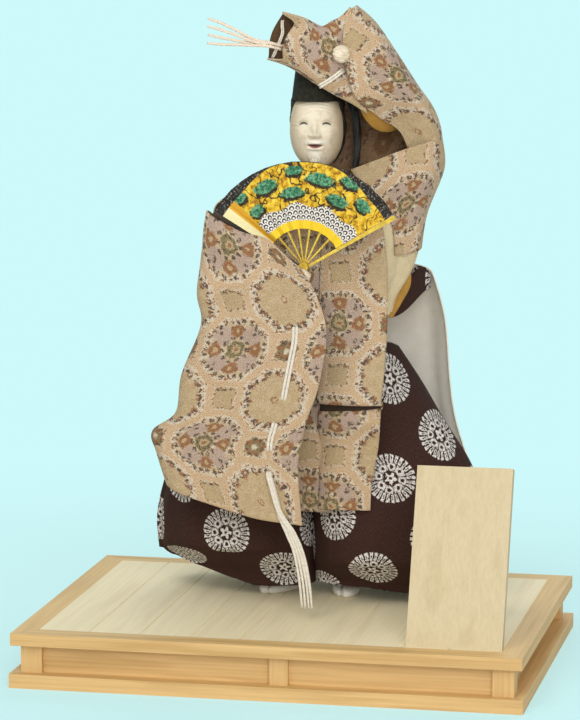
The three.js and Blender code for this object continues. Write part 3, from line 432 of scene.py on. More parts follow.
def brocade(name, shade=1.0, ruddy=0.0, deep=(0.06, 0.03, 0.015)):
    """Figured silk: a lattice of flowered and plain octagons with small squares between them."""
    paint = Paint(name)
    plane = paint.cloth()
    u, v, _ = paint.parts(paint.ragged(paint.ragged(plane, 0.16, 5.0), 0.75, 3.0))
    x, y = u * (1 / BROCADE_PITCH), v * (1 / BROCADE_PITCH)
    flower_x, flower_y = paint.wrap(x), paint.wrap(y)
    plain_x, plain_y = paint.wrap(x, 0.5), paint.wrap(y, 0.5)
    gaps = paint.above(paint.noise(plane, 0.5, 2.0, 0.7), 0.44, 0.05)
    patches = paint.noise(plane, 0.17, 3.0, 0.65)

    def octagon(across, up):
        wide, high = abs(across), abs(up)
        return paint.most(wide, high, (wide + high) * math.sqrt(0.5))

    def ring(distance, angle, middle, count, size, phase=0.0, reach=None):
        """1 in dots that lie where the distance is at its middle; reach is the radius of their arc."""
        return paint.dots(distance - middle, angle, reach or middle, count, size, phase)

    flower, plain = octagon(flower_x, flower_y), octagon(plain_x, plain_y)
    edge = paint.math("MINIMUM", flower, plain)

    # The flowered octagon: rust and mauve blossoms round an olive middle
    reach = paint.length(flower_x, flower_y)
    angle = paint.math("ARCTAN2", flower_y, flower_x)
    flowered = paint.layers(
        BEIGE,
        (paint.above(patches, 0.55, 0.05), PALE),
        (ring(reach, angle, 0.19, 4, 0.095, 0.5), MAUVE),
        (ring(reach, angle, 0.22, 12, 0.022, 0.5) * gaps, DARK),
        (ring(reach, angle, 0.19, 4, 0.064), BROWN),
        (ring(reach, angle, 0.19, 4, 0.022), OCHRE),
        (ring(reach, angle, 0.118, 10, 0.022) * gaps, DARK),
        (paint.above(flower, 0.286, 0.008), PALE),
        (ring(flower, angle, 0.278, 28, 0.022, reach=0.28) * gaps, DARK),
        (paint.below(reach, 0.085, 0.012), OCHRE),
        (ring(reach, angle, 0.064, 7, 0.026), OLIVE),
        (ring(reach, angle, 0.066, 7, 0.015, 0.5) * gaps, DARK),
        (paint.below(reach, 0.02, 0.008), BROWN))

    # The plain octagon: an even field in a ring of brown and dark flecks
    plain_angle = paint.math("ARCTAN2", plain_y, plain_x)
    field = paint.layers(
        OCHRE,
        (paint.above(patches, 0.52, 0.12), BEIGE),
        (paint.above(plain, 0.25, 0.012), PALE),
        (ring(plain, plain_angle, 0.255, 12, 0.036, reach=0.28) * gaps, BROWN),
        (ring(plain, plain_angle, 0.262, 26, 0.023, reach=0.28) * gaps, DARK),
        (paint.near(paint.length(plain_x, plain_y), 0.024, 0.007, 0.004) * gaps, BROWN))
    inside = paint.mix(flower < plain, field, flowered)

    # The squares: one kind holds an olive flower, the other is plain with a row of flecks
    petals = paint.length(plain_x, flower_y)
    petal_angle = paint.math("ARCTAN2", flower_y, plain_x)
    square = paint.layers(
        BEIGE,
        (paint.below(petals, 0.1, 0.015), OLIVE),
        (ring(petals, petal_angle, 0.062, 5, 0.03), BROWN),
        (ring(petals, petal_angle, 0.085, 8, 0.02, 0.5) * gaps, DARK),
        (paint.below(petals, 0.024, 0.01), PALE))
    fleck = paint.below(abs(paint.wrap(flower_x * 16.0)), 0.32, 0.06)
    bare = paint.mix(fleck * paint.near(plain_y, 0.085, 0.012, 0.005) * gaps, OCHRE, DARK)
    small = paint.mix(abs(plain_x) < abs(flower_x), bare, square)

    # Peach bands between them with pale edges and broken flecks, then uneven threads over all
    away = abs(edge - OCTAGON)
    stitch = paint.above(paint.noise(plane, 0.42, 1.0), 0.56, 0.03)
    threads = paint.noise(paint.scaled(plane, (0.35, 2.6, 1.0)), 1.0, 3.0, 0.7)
    grains = paint.noise(plane, 0.9, 3.0, 0.8)
    paint.set(Base_Color=paint.layers(
        paint.mix(paint.above(edge, OCTAGON, 0.002), inside, small),
        (paint.below(away, 0.046, 0.005) * 0.8, PALE),
        (paint.below(away, 0.03, 0.006), PEACH),
        (stitch * paint.near(away, 0.048, 0.012, 0.005), BROWN),
        (paint.above(threads, 0.54, 0.1) * 0.25, PALE),
        (paint.above(grains, 0.56, 0.07) * 0.48, BROWN),
        # Then a rust tint, and a mix toward the deep colour where shade is below 1: painted shade for
        # darkened copies
        (ruddy, RUST),
        (1 - shade, deep)))
    paint.set(Roughness=0.75, Sheen_Weight=0.06, Sheen_Roughness=0.5, Specular_IOR_Level=0.3)
    paint.bump(paint.weave(plane, 0.9) + threads * 1.4, 0.45, 0.0005)
    return paint.material


CREST_PITCH = (76.0, 72.0)
CREST_LOOPS = 28
BLOOM_REACH = 8.4


def crest_cloth(name):
    """Dark maroon twill with staggered round crests."""
    paint = Paint(name)
    plane = paint.cloth()
    u, v, _ = paint.parts(paint.ragged(paint.ragged(plane, 0.3, 1.6), 0.9, 1.8))

    def crest(shift):
        across, up = (paint.wrap(run * (1 / pitch), shift) * pitch for run, pitch in zip((u, v), CREST_PITCH))
        reach = paint.length(across, up)
        angle = paint.math("ARCTAN2", up, across)
        ray = abs(paint.wrap(angle * (CREST_LOOPS / TURN)))
        loops = paint.below(ray, 0.31, 0.06) * paint.near(reach, 14.6, 3.0, 0.4)
        slits = paint.below(ray, 0.1, 0.05) * paint.near(reach, 14.2, 1.5, 0.4)
        blooms, hearts = (paint.dots(reach - BLOOM_REACH, angle, BLOOM_REACH, 8, size) for size in (2.8, 1.4))
        rays = paint.below(ray, 0.17, 0.06) * paint.near(reach, BLOOM_REACH, 2.7, 0.3)
        petal = paint.math("COSINE", angle * 5.0) * 1.2 + 3.4
        middle = paint.below(reach - petal, 0.0, 0.35)
        dark = paint.most(slits, hearts, paint.below(reach, 1.0, 0.3))
        return paint.most(loops, middle, blooms, rays) * (1.0 - dark)

    figure = paint.most(crest(0.0), crest(0.5))
    twill = paint.noise(paint.scaled(plane, (1.2, 0.5, 1.0)), 1.0, 3.0, 0.7)
    ground = paint.ramp(twill, (0.3, (0.026, 0.01, 0.0075)), (0.7, (0.058, 0.026, 0.019)))
    worn = paint.noise(plane, 1.1, 2.0, 0.7)
    thread = paint.ramp(worn, (0.36, (0.36, 0.34, 0.31)), (0.56, (0.82, 0.79, 0.74)))
    paint.set(Base_Color=paint.mix(figure, ground, thread), Roughness=0.85, Specular_IOR_Level=0.15)
    slant = paint.sine((u + v) * (math.pi / 0.9))
    paint.bump(slant * 0.3 + figure * 0.8 + twill, 0.35, 0.0004)
    return paint.material


def plain_cloth(name, light, dark, thread=0.8):
    """Plain woven cloth of two close tones."""
    paint = Paint(name)
    plane = paint.cloth()
    fine = paint.noise(paint.scaled(plane, (1.4, 0.7, 1.0)), 1.0, 2.0, 0.7)
    tone = paint.noise(plane, 0.08, 3.0) * 0.5 + fine * 0.5
    paint.set(Base_Color=paint.ramp(tone, (0.35, dark), (0.62, light)), Roughness=0.85)
    paint.bump(paint.weave(plane, thread) + fine, 0.3, 0.0003)
    return paint.material


def fibres(name, light, dark, stretch, detail, light_from, bump, **looks):
    """Twisted, combed or wound fibres: how fine they are across and along, then their tones and relief."""
    paint = Paint(name)
    strands = paint.noise(paint.scaled(paint.cloth(), (*stretch, 1.0)), 1.0, detail, 0.7)
    paint.set(Base_Color=paint.ramp(strands, (0.3, dark), (light_from, light)), **looks)
    paint.bump(strands, *bump)
    return paint.material


def cord_silk(name, light, dark):
    return fibres(name, light, dark, (3.0, 0.5), 2.0, 0.6, (0.5, 0.0004), Roughness=0.65, Sheen_Weight=0.2,
                  Sheen_Roughness=0.4)


def wood(name, grain, light, dark, planks=0.0):
    """Planed softwood; grain is 0, 1 or 2 for boards along X, Y or Z, planks the width of one in metres."""
    paint = Paint(name)
    place = paint.place()
    if planks:
        x, y, z = paint.parts(place)
        plank = paint.math("FLOOR", (x + 4.5 * planks) * (1 / planks))
        place = paint.node("CombineXYZ", {0: x + plank * 0.61, 1: y + plank * 1.37, 2: z})

    def grained(across, lengthwise):
        return paint.scaled(place, [lengthwise if k == grain else across for k in range(3)])

    wander = paint.noise(grained(14.0, 5.0), 1.0, 1.0)
    broad = paint.noise(paint.moved(grained(70.0, 4.0), wander), 1.0, 2.0, 0.5)
    fine = paint.noise(grained(520.0, 9.0), 1.0, 3.0, 0.65)
    rings = paint.sine(broad * 16.0)
    tone = rings * 0.07 + (broad * 0.3 + fine * 0.52)
    if planks:
        shade = paint.math("FRACT", paint.sine(plank * 12.9) * 437.5)
        tone = tone + (shade - 0.5) * 0.16
    paint.set(Base_Color=paint.ramp(tone, (0.22, dark), (0.6, light)), Roughness=fine * 0.2 + 0.48)
    paint.bump(fine + rings * 0.3, 0.25, 0.0003)
    return paint.material


def ivory():
    """Carved wood under ivory shell paint, faintly worn."""
    paint = Paint("ivory")
    place = paint.place()
    wear = paint.noise(place, 160.0, 4.0, 0.65)
    fine = paint.noise(place, 900.0, 2.0)
    paint.set(Base_Color=paint.ramp(wear, (0.32, (0.62, 0.5, 0.34)), (0.52, (0.78, 0.69, 0.52))))
    paint.set(Roughness=wear * 0.2 + 0.34)
    paint.bump(wear + fine * 0.3, 0.12, 0.0005)
    return paint.material


def painted_mask():
    """The mask: ivory shell paint, with its features painted by degrees across and up it."""
    paint = Paint("painted_mask")
    across, up, _ = paint.parts(paint.cloth())
    aside = abs(across)
    wear = paint.noise(paint.place(), 170.0, 4.0, 0.65)
    ground = paint.ramp(wear, (0.3, (0.66, 0.54, 0.37)), (0.52, (0.8, 0.71, 0.54)))
    lip = paint.near(up, -13.5, 3.8, 3.0) * paint.below(aside, 26.0, 9.0)
    chin = paint.near(up, -42.0, 19.0, 6.0) * paint.below(aside, 15.0, 9.0)
    from_eye = aside - 26.0
    beside = abs(from_eye)
    droop = paint.math("POWER", from_eye, 2.0) * 0.028
    eye_line = up - 15.5 + (droop + from_eye * 0.08)
    lids = paint.near(eye_line, 4.0, 1.2, 1.2) * paint.below(beside, 11.0, 3.0)
    lens = 1.0 - paint.math("POWER", aside * (1 / 18.0), 2.0)

    # Painted shade on both sides, pale lip and chin, drooping eyes and lids, red lips, and painted shade in
    # the dark gape between them
    colour = paint.layers(
        ground,
        (paint.above(aside, 46.0, 20.0) * 0.7, (0.5, 0.36, 0.2)),
        (paint.most(lip, chin) * 0.8, (0.88, 0.84, 0.72)),
        (paint.near(eye_line, 0.0, 1.5, 0.8) * paint.below(beside, 9.5, 2.0), (0.06, 0.055, 0.05)),
        (lids * 0.4, (0.4, 0.27, 0.15)),
        (paint.below(abs(up + 20.5) - lens * 3.4, 0.0, 0.7), (0.33, 0.09, 0.07)),
        (paint.below(abs(up + 20.0) - lens * 2.0, 0.0, 0.6), (0.05, 0.01, 0.01)))
    paint.set(Base_Color=colour, Roughness=wear * 0.2 + 0.36)
    paint.bump(wear, 0.1, 0.0005)
    return paint.material


def black_gauze():
    """Lacquered gauze of the hat."""
    paint = Paint("black_gauze")
    plane = paint.cloth()
    tone = paint.noise(plane, 0.25, 3.0)
    paint.set(Base_Color=paint.ramp(tone, (0.3, (0.012, 0.011, 0.007)), (0.7, (0.034, 0.031, 0.02))))
    paint.set(Roughness=0.75, Specular_IOR_Level=0.15)
    paint.bump(paint.weave(plane, 0.9) + tone, 0.5, 0.0005)
    return paint.material


def white_hair():
    """Bleached fibres of the beard."""
    paint = Paint("white_hair")
    tone = paint.noise(paint.place(), 1500.0, 2.0)
    paint.set(Base_Color=paint.ramp(tone, (0.3, (0.62, 0.56, 0.44)), (0.65, (0.86, 0.82, 0.72))))
    paint.set(Roughness=0.7)
    return paint.material


def lacquer(name, light, dark):
    """Lacquered bamboo of the fan's sticks."""
    paint = Paint(name)
    place = paint.place()
    fine = paint.noise(paint.scaled(place, (420.0, 420.0, 420.0)), 1.0, 3.0)
    tone = fine * 0.5 + paint.noise(place, 90.0, 2.0) * 0.5
    paint.set(Base_Color=paint.ramp(tone, (0.32, dark), (0.6, light)), Roughness=0.38, Metallic=0.15)
    paint.bump(fine, 0.15, 0.0003)
    return paint.material


def wire_steel():
    """Drawn steel of the rods and wires."""
    paint = Paint("wire_steel")
    drawn = paint.noise(paint.place(), 700.0, 3.0)
    paint.set(Base_Color=paint.ramp(drawn, (0.3, (0.3, 0.3, 0.31)), (0.7, (0.5, 0.5, 0.5))))
    paint.set(Metallic=1.0, Roughness=drawn * 0.2 + 0.3)
    return paint.material


# Green clusters on the fan: angle in degrees, reach and half sizes in millimetres
FAN_CLUSTERS = [
    (-41, 51, 6, 3.4), (-44, 65, 5, 3.0), (-26, 62, 9, 4.2), (-9, 53, 8, 3.8), (-6, 68, 7, 3.2),
    (11, 63, 10, 4.2), (27, 53, 8, 4.0), (29, 68, 7, 3.2), (44, 61, 6, 3.8),
]
CLUSTER_SHADOW = (0.035, 0.022, 0.012)
GOLD_LEAF = (0.85, 0.63, 0.08)
WAVE_START = 34.0
WAVE_ROW = 3.4


def fan_paper():
    """Gilt fan leaf: clouds of green round a gold ground, over a band of wave scales."""
    paint = Paint("fan_paper")
    place = paint.place()
    x, _, z = paint.parts(place)
    centre = spot(FAN)
    across = (x - centre.x) * (1 / MM)
    up = (z - centre.z) * (1 / MM)
    reach = paint.length(across, up)
    angle = paint.math("ARCTAN2", across, up) * (180 / math.pi)
    flecks = paint.noise(place, 260.0, 3.0, 0.7)
    gold = paint.ramp(flecks, (0.36, (0.3, 0.13, 0.01)), (0.5, (0.7, 0.44, 0.02)), (0.64, GOLD_LEAF))

    # Rounded clusters, each with a dark shadow under it, over fine dark veins
    veins = abs(paint.noise(place, 75.0, 2.0) - 0.5)
    coats = [(paint.below(veins, 0.016, 0.008), (0.04, 0.025, 0.012))]
    ragged = (paint.noise(place, 420.0, 2.0) - 0.5) * 1.1
    green = paint.ramp(paint.noise(place, 520.0, 3.0, 0.75), (0.36, (0.012, 0.05, 0.025)),
                       (0.5, (0.05, 0.22, 0.11)), (0.62, (0.2, 0.42, 0.24)))
    for turn, out, wide, high in FAN_CLUSTERS:
        arc = (angle - turn) * (math.radians(out) / wide)
        for drop, grow, tint in ((2.2, 1.08, CLUSTER_SHADOW), (0.0, 1.0, green)):
            rise = (reach + (drop - out)) * (1 / high)
            coats.append((paint.below(paint.length(arc, rise) + ragged, grow, 0.1), tint))

    # Wave scales in black and white near the inner edge
    row = (reach - WAVE_START) * (1 / WAVE_ROW)
    half = paint.math("MODULO", paint.math("FLOOR", row), 2.0) * 0.5
    cell = paint.wrap(angle * 0.17 + half)
    scale = paint.length(cell * 1.5, paint.math("FRACT", row) - 0.15)
    stripes = paint.above(paint.sine(scale * 10.0), 0.0, 0.35)
    waves = paint.mix(stripes, (0.03, 0.026, 0.024), (0.78, 0.75, 0.68))
    edge_wave = reach + paint.sine(angle * 0.21) * 1.6

    # Plain end folds, and a dark fleck-sewn border towards both ends of the outer arc
    sewn = paint.noise(place, 620.0, 2.0, 0.8)
    trim = paint.ramp(sewn, (0.56, (0.02, 0.015, 0.012)), (0.72, (0.5, 0.45, 0.38)))
    border = reach + paint.above(abs(angle), 30.0, 16.0) * 6.5
    colour = paint.layers(
        gold, *coats,
        (paint.below(edge_wave, 44.0, 0.4), waves),
        (paint.below(reach, 33.0, 0.3), (0.86, 0.6, 0.03)),
        (paint.below(angle, -47.5, 0.3), (0.72, 0.38, 0.03)),
        (paint.below(angle, -53.0, 0.3), (0.85, 0.78, 0.42)),
        (paint.above(border, 73.4, 0.4), trim))
    paint.set(Base_Color=colour, Roughness=0.7, Specular_IOR_Level=0.25)
    paint.bump(flecks, 0.15, 0.0003)
    return paint.material


PLANK_WIDTH = 0.0361111
BROCADE = brocade("brocade")
# The brocade's brown reverse lines the robe and sleeves, darkened by half as painted shade for their insides
BROCADE_REVERSE_SHADED = brocade("brocade_reverse_shaded", shade=0.5, ruddy=0.55)
# Painted shade: a near-black copy of the brocade for the dark inside of the thrown cuff
BROCADE_SHADED = brocade("brocade_shaded", shade=0.18, ruddy=0.75, deep=(0.045, 0.02, 0.005))
# Painted shadow: an almost black copy of the brocade for the strip in the robe's tuck
TUCK_SHADE = brocade("brocade_tuck_shadow", shade=0.06, ruddy=0.6, deep=(0.016, 0.007, 0.003))
CREST = crest_cloth("crest_cloth")
LINING = plain_cloth("lining_cloth", (0.92, 0.89, 0.79), (0.84, 0.8, 0.69))
EDGE = plain_cloth("edge_thread", (0.72, 0.62, 0.46), (0.52, 0.38, 0.22), thread=0.6)
GILT_LINING = plain_cloth("gilt_lining", (0.55, 0.3, 0.05), (0.37, 0.18, 0.03))
UNDER_ROBE = plain_cloth("under_robe", (0.72, 0.62, 0.4), (0.56, 0.46, 0.27))
COTTON = plain_cloth("white_cotton", (0.8, 0.77, 0.7), (0.62, 0.58, 0.5))
CORD = cord_silk("cord_silk", (0.84, 0.79, 0.68), (0.55, 0.47, 0.36))
TAIL_CORD = cord_silk("tail_silk", (0.86, 0.76, 0.62), (0.66, 0.48, 0.33))
HAIR = fibres("black_hair", (0.045, 0.04, 0.034), (0.008, 0.007, 0.006), (2.6, 0.08), 3.0, 0.7, (0.6, 0.0006),
              Roughness=0.5, Specular_IOR_Level=0.3)
STRAW = fibres("straw_wrap", (0.7, 0.62, 0.46), (0.5, 0.4, 0.24), (0.12, 1.4), 3.0, 0.7, (0.4, 0.0006),
               Roughness=0.9)
IVORY = ivory()
WHITE_HAIR = white_hair()
MASK_PAINT = painted_mask()
GAUZE = black_gauze()
GOLD = lacquer("gold_lacquer", (0.85, 0.6, 0.06), (0.5, 0.3, 0.025))
DARK_LACQUER = lacquer("dark_lacquer", (0.09, 0.06, 0.04), (0.03, 0.02, 0.015))
STEEL = wire_steel()
FAN_PAPER = fan_paper()
PINE = [wood(f"pine_{'xyz'[k]}", k, (0.77, 0.52, 0.225), (0.53, 0.32, 0.11)) for k in range(3)]
DECK_WOOD = wood("deck_wood", 1, (0.93, 0.82, 0.55), (0.8, 0.67, 0.42), planks=PLANK_WIDTH)
PLAQUE_WOOD = wood("plaque_wood", 2, (0.64, 0.53, 0.325), (0.53, 0.42, 0.235))


# Camera at the photograph's viewpoint
CAMERA_TARGET = Vector((-0.00828, 0.0, 0.21564))
CAMERA_AZIMUTH = math.radians(11.86)
CAMERA_ELEVATION = math.radians(8.99)
CAMERA_DISTANCE = 2.5009
LENS = 175.7
CLIP_END = 20
camera_data = bpy.data.cameras.new("camera")
camera_data.lens = LENS
camera_data.clip_end = CLIP_END
camera = bpy.data.objects.new("camera", camera_data)
bpy.context.scene.collection.objects.link(camera)
level = math.cos(CAMERA_ELEVATION)
away_x, away_y = math.sin(CAMERA_AZIMUTH) * level, -math.cos(CAMERA_AZIMUTH) * level
away = Vector((away_x, away_y, math.sin(CAMERA_ELEVATION)))
camera.location = CAMERA_TARGET + away * CAMERA_DISTANCE
camera.rotation_euler = (-away).to_track_quat("-Z", "Y").to_euler()
bpy.context.scene.camera = camera
bpy.context.scene.view_settings.view_transform = "Standard"

# Soft studio light and a pale floor. Lamps: place, size and power
LAMP_TARGET = Vector((0, 0, 0.2))
LAMPS = {
    "key": ((-0.6, -1.75, 2.2), 1.1, 20),
    "fill": ((0.75, -2.2, 1.0), 1.2, 29),
    "back": ((0.3, 1.8, 1.8), 1.6, 15),
}
BACKDROP = (0.62, 0.95, 0.96)
for name, (place, size, power) in LAMPS.items():
    lamp_data = bpy.data.lights.new(name, "AREA")
    lamp_data.size = size
    lamp_data.energy = power
    lamp = bpy.data.objects.new(name, lamp_data)
    bpy.context.scene.collection.objects.link(lamp)
    lamp.location = place
    lamp.rotation_euler = (LAMP_TARGET - Vector(place)).to_track_quat("-Z", "Y").to_euler()


def seen_rays(tree):
    """1 for rays of the camera, and for those that come by way of glass or metal."""
    rays = tree.nodes.new("ShaderNodeLightPath")
    seen = rays.outputs["Is Camera Ray"]
    for kind in ("Is Transmission Ray", "Is Glossy Ray"):
        either = tree.nodes.new("ShaderNodeMath")
        either.operation = "MAXIMUM"
        tree.links.new(seen, either.inputs[0])
        tree.links.new(rays.outputs[kind], either.inputs[1])
        seen = either.outputs[0]
    return seen


def mix_shaders(tree, share, first, second, output):
    blend = tree.nodes.new("ShaderNodeMixShader")
    for source, socket in zip((share, first, second), blend.inputs):
        tree.links.new(source, socket)
    tree.links.new(blend.outputs[0], tree.nodes[output].inputs["Surface"])


world = bpy.data.worlds.new("studio")
bpy.context.scene.world = world
world.use_nodes = True
tree = world.node_tree
sky = tree.nodes["Background"]
sky.inputs["Color"].default_value = (1.0, 0.98, 0.95, 1.0)
sky.inputs["Strength"].default_value = 0.43
backdrop = tree.nodes.new("ShaderNodeBackground")
backdrop.inputs["Color"].default_value = (*BACKDROP, 1.0)
mix_shaders(tree, seen_rays(tree), sky.outputs[0], backdrop.outputs[0], "World Output")

# The floor fades into the backdrop away from the object and keeps the shadow near it
FLOOR_HALF = 6.0


def floor_paint():
    """Pale cyan to the camera, neutral to all other light."""
    paint = Paint("floor_paint")
    place = paint.place()
    x, y, _ = paint.parts(place)
    seen = Value(paint, seen_rays(paint.tree))
    cyan = paint.ramp(paint.noise(place, 3.0, 2.0), (0.3, (0.6, 0.9, 0.91)), (0.7, (0.62, 0.93, 0.94)))
    paint.set(Base_Color=paint.mix(seen, (0.8, 0.78, 0.75), cyan), Roughness=0.9)
    far = paint.above(paint.length(x, y), 0.5, 0.3)
    share = seen * (far * 0.5 + 0.5)
    glow = paint.node("Emission", {"Color": BACKDROP})
    mix_shaders(paint.tree, share.socket, paint.shader.outputs[0], glow.socket, "Material Output")
    return paint.material


floor_mesh = bpy.data.meshes.new("floor")
floor_corners = [(-1, -1), (1, -1), (1, 1), (-1, 1)]
floor_mesh.from_pydata([(x * FLOOR_HALF, y * FLOOR_HALF, 0.0) for x, y in floor_corners], [], [(0, 1, 2, 3)])
floor_mesh.materials.append(floor_paint())
floor = bpy.data.objects.new("floor", floor_mesh)
bpy.context.scene.collection.objects.link(floor)


# Free cord ends: a tassel of four strands on each sleeve
STRAND_RADIUS = 1.15
STRAND_STEPS = 30


def free_strand(name, path, material, node):
    radius = STRAND_RADIUS * MM
    strand = finish_piece(name, rope_mesh(name, path, radius, taper=0.3), "stand", [material])
    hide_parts(node)
    lengths(path)[-1]


# Each strand of the hanging tassel: its place in the bundle, its lane lower down, and its stray at the end
RIGHT_STRANDS = [
    ((-1.0, 0.6), -3.2, (-0.5, 0.4)), ((1.1, 0.5), -1.05, (-0.3, -1.0)),
    ((-0.9, -1.2), 1.1, (0.4, 0.8)), ((1.0, -1.1), 3.2, (1.0, -0.6)),
]
right_line = smooth_path([(x, RIGHT_TAIL_Y, z) for x, z in RIGHT_TAIL], STRAND_STEPS)
for number, (bundle, lane, stray) in enumerate(RIGHT_STRANDS, 1):
    route = []
    for step, point in enumerate(right_line):
        share = step / STRAND_STEPS
        flat = smooth(0.25, 0.55, share)
        loose = smooth(0.6, 1.0, share)
        x = lerp(bundle[0], lane, flat) + stray[0] * loose + 0.4 * math.sin(5 * share + 1.7 * number) * loose
        y = bundle[1] * (1 - 0.6 * flat) + stray[1] * loose + 6.0 * smooth(0.06, 0.0, share)
        route.append(spot(point + Vector((x, y, 0))))
    free_strand(f"sleeve_tassel_right_{number}", route, CORD, "sleeve_tail_right")

# The raised sleeve's strands stand out stiffly; each has its place in the bundle, its tip height and its sag
LEFT_STRANDS = [(0.9, 6.6, 0.8), (-1.0, 2.4, 0.3), (0.8, -2.8, -0.6), (-0.9, -7.6, -0.4)]
left_line = smooth_path(LEFT_TAIL, STRAND_STEPS)
for number, (bundle, tip, sag) in enumerate(LEFT_STRANDS, 1):
    route = []
    for step, point in enumerate(left_line):
        share = step / STRAND_STEPS
        splay = smooth(0.1, 1.0, share)
        rise = (1.5 - number * 0.6) * 1.3 + tip * splay + sag * math.sin(math.pi * share)
        route.append(spot(point + Vector((0, bundle, rise))))
    free_strand(f"sleeve_tassel_left_{number}", route, TAIL_CORD, "sleeve_tail_left")

# Robe front: the right-hand panel blouses over a deep tuck, in front of a straight strip
ROBE_CLOTHS = [BROCADE, BROCADE_REVERSE_SHADED, EDGE]
OVERLAP_X = 15.5
STRIP_BACK = 3.4
STRIP_TOP = 302
STRIP_FOOT = 70
STRIP_LEFT = -46
STRIP_RIGHT = 24
STRIP_LOW_Y = -52
TUCK_TOP = ROBE_FRONT[-1][0]
TUCK = [
    [160, -60, 62], [152, -62, 61.5], [150, -59.5, 61.3], [151, -53, 61], [148.5, -51.5, 61],
    [144.3, -53, 61], [142, -57, 60.8], [136, -57, 60],
]
TUCK_LIP = 7
TUCK_SHADOW_SPAN = [[OVERLAP_X + 1, 155], [60, 140]]
ROBE_PANEL = ROBE_FRONT[:5] + TUCK + ROBE_FOOT


def robe_depth(height):
    """How far forward the robe's front lies at a height; below the tuck's top it stays as it is there."""
    height = max(height, TUCK_TOP)
    for (top, near, _), (low, far, _) in zip(ROBE_FRONT, ROBE_FRONT[1:]):
        if low <= height <= top:
            return lerp(far, near, (height - low) / (top - low))
    return ROBE_FRONT[0][1]


def robe_panel(u, v):
    z, y, right = along(ROBE_PANEL, v)
    x = lerp(OVERLAP_X, right, u)
    z += 4.0 * u * hill(z, 142, 3.5)
    wave = math.sin(7.5 * u + 2.2 * v) * smooth(0.25, 0.6, v)
    wave = wave + 1.3 * creases(x, z, 1.0) + creases(x, z, 2.0, 60.0)
    return (x + 0.8 * creases(0, z, 3.0), y + 3.2 * (2 * u - 1) ** 4 + wave, z)


def robe_strip(u, v):
    z = lerp(STRIP_TOP, STRIP_FOOT, v)
    x = lerp(STRIP_LEFT - 9 * math.sin(math.pi * v), STRIP_RIGHT, u)
    y = lerp(STRIP_LOW_Y, robe_depth(z), smooth(150, 175, z))
    return (x, y + STRIP_BACK + 0.9 * math.sin(9 * u + 3 * v) + 5 * (1 - u) ** 3, z)


def tuck_shadow_sheet(u, v):
    lip_y = robe_panel(u, TUCK_LIP / (len(ROBE_PANEL) - 1))[1]
    (left, top), (right, foot) = TUCK_SHADOW_SPAN
    return (lerp(left, right, u), lip_y + 4.0, lerp(top, foot, v))


def robe_back(u, v):
    z, middle, edge, left, right = along(ROBE_BACK, v)
    x = lerp(left, right, u)
    fold = 1.3 * math.sin(13 * u + 1.5 * v) * math.sin(math.pi * v) + 1.2 * creases(x, z, 4.0)
    return (x, lerp(middle, edge, (2 * u - 1) ** 2) + fold, z)


# Painted shadow: a near-black strip of brocade stands in the groove under the tuck's lip
cloth_piece("robe_tuck_shadow", None, [TUCK_SHADE] * 2, tuck_shadow_sheet, (40, 8), "folded", ["robe_front_panel"])
cloth_piece("robe_front_panel", "robe_front", ROBE_CLOTHS, robe_panel, (40, 170), "hung", ["torso"],
            shift=(9.2, 27.8))
cloth_piece("robe_front_strip", None, ROBE_CLOTHS, robe_strip, (40, 70), "hung", ["torso"], shift=(-20, 8))
cloth_piece("robe_back_panel", "robe_back", ROBE_CLOTHS, robe_back, (56, 48), "hung", ["torso"], flip=True,
            shift=(0, 10))

# The robe's left side hangs from the raised arm, over folds of the cream under-robe and its gilt lining.
# Each row has three places from front to back
SIDE_ROBE = [
    [34, -30, 313, 93, -29, 335, 80, 18, 322], [46, -41, 300, 94.5, -28, 313, 82, 22, 308],
    [64, -38.5, 276, 85.5, -24, 283, 76, 12, 279], [67, -38, 254, 83, -23, 257, 71, 3, 256],
]
UNDER_ROBE_SIDE = [
    [56, -41, 279, 83, -22, 275, 70, 0, 275], [56, -41, 245, 76, -21, 245, 65, -3, 245],
    [56, -41, 222, 63, -22, 223, 59, -9, 223], [55, -40, 209, 59.5, -24, 211, 57, -12, 211],
]
GILT_STRIP = [
    [71, -9, 240, 72, -8, 240, 73, -7, 240], [66, -14, 231, 69.5, -9.5, 229, 72, -4, 228],
    [62, -18, 221, 64.5, -15, 218, 66.5, -11, 216], [58, -20, 209, 60.5, -18, 207, 61.5, -15, 207],
]


def side_surface(rows, fold_depth, seed):
    def surface(u, v):
        row = along(rows, v)
        weights = ((1 - u) * (1 - 2 * u), 4 * u * (1 - u), u * (2 * u - 1))
        x, y, z = (sum(weight * row[3 * j + k] for j, weight in enumerate(weights)) for k in range(3))
        gathered = math.sin(math.pi * clamp(u))
        fold = fold_depth * gathered * math.sin(19 * u + 0.8 * v) + creases(x + y, z, seed)
        return (x + 0.6 * fold, y - 0.5 * fold * (1 - u), z)
    return surface


cloth_piece("robe_side", "robe_side_left", ROBE_CLOTHS, side_surface(SIDE_ROBE, 0.7, 7.0), (60, 60), "hung",
            ["torso", "arm_wire_left"], shift=(14, 44), turn=math.radians(8))
cloth_piece("under_robe_side", None, [UNDER_ROBE, GILT_LINING], side_surface(UNDER_ROBE_SIDE, 3.6, 8.0),
            (70, 40), "hung", ["torso"])
cloth_piece("under_robe_lining", None, [GILT_LINING] * 2, side_surface(GILT_STRIP, 0.4, 9.0), (40, 30),
            "hung", ["under_robe_side"])

# Trousers: the stiff flared back, its waistband, and two padded legs
PANEL_REACH = 73
PANEL_TOP = BACK_PANEL[0][0]
PANEL_FOOT = BACK_PANEL[-1][0]
STRAP_SHARE = 0.74
STRAP_ENDS = {-1: (-40, -43), 1: (52, -14)}
STRAP_SWING = 2.5
STRAP_RISE = 18
STRAP_DROP = 17
BAND_WIDTH = 10.5
BAND_INWARD = 1.9
BAND_THICKNESS = 1.3


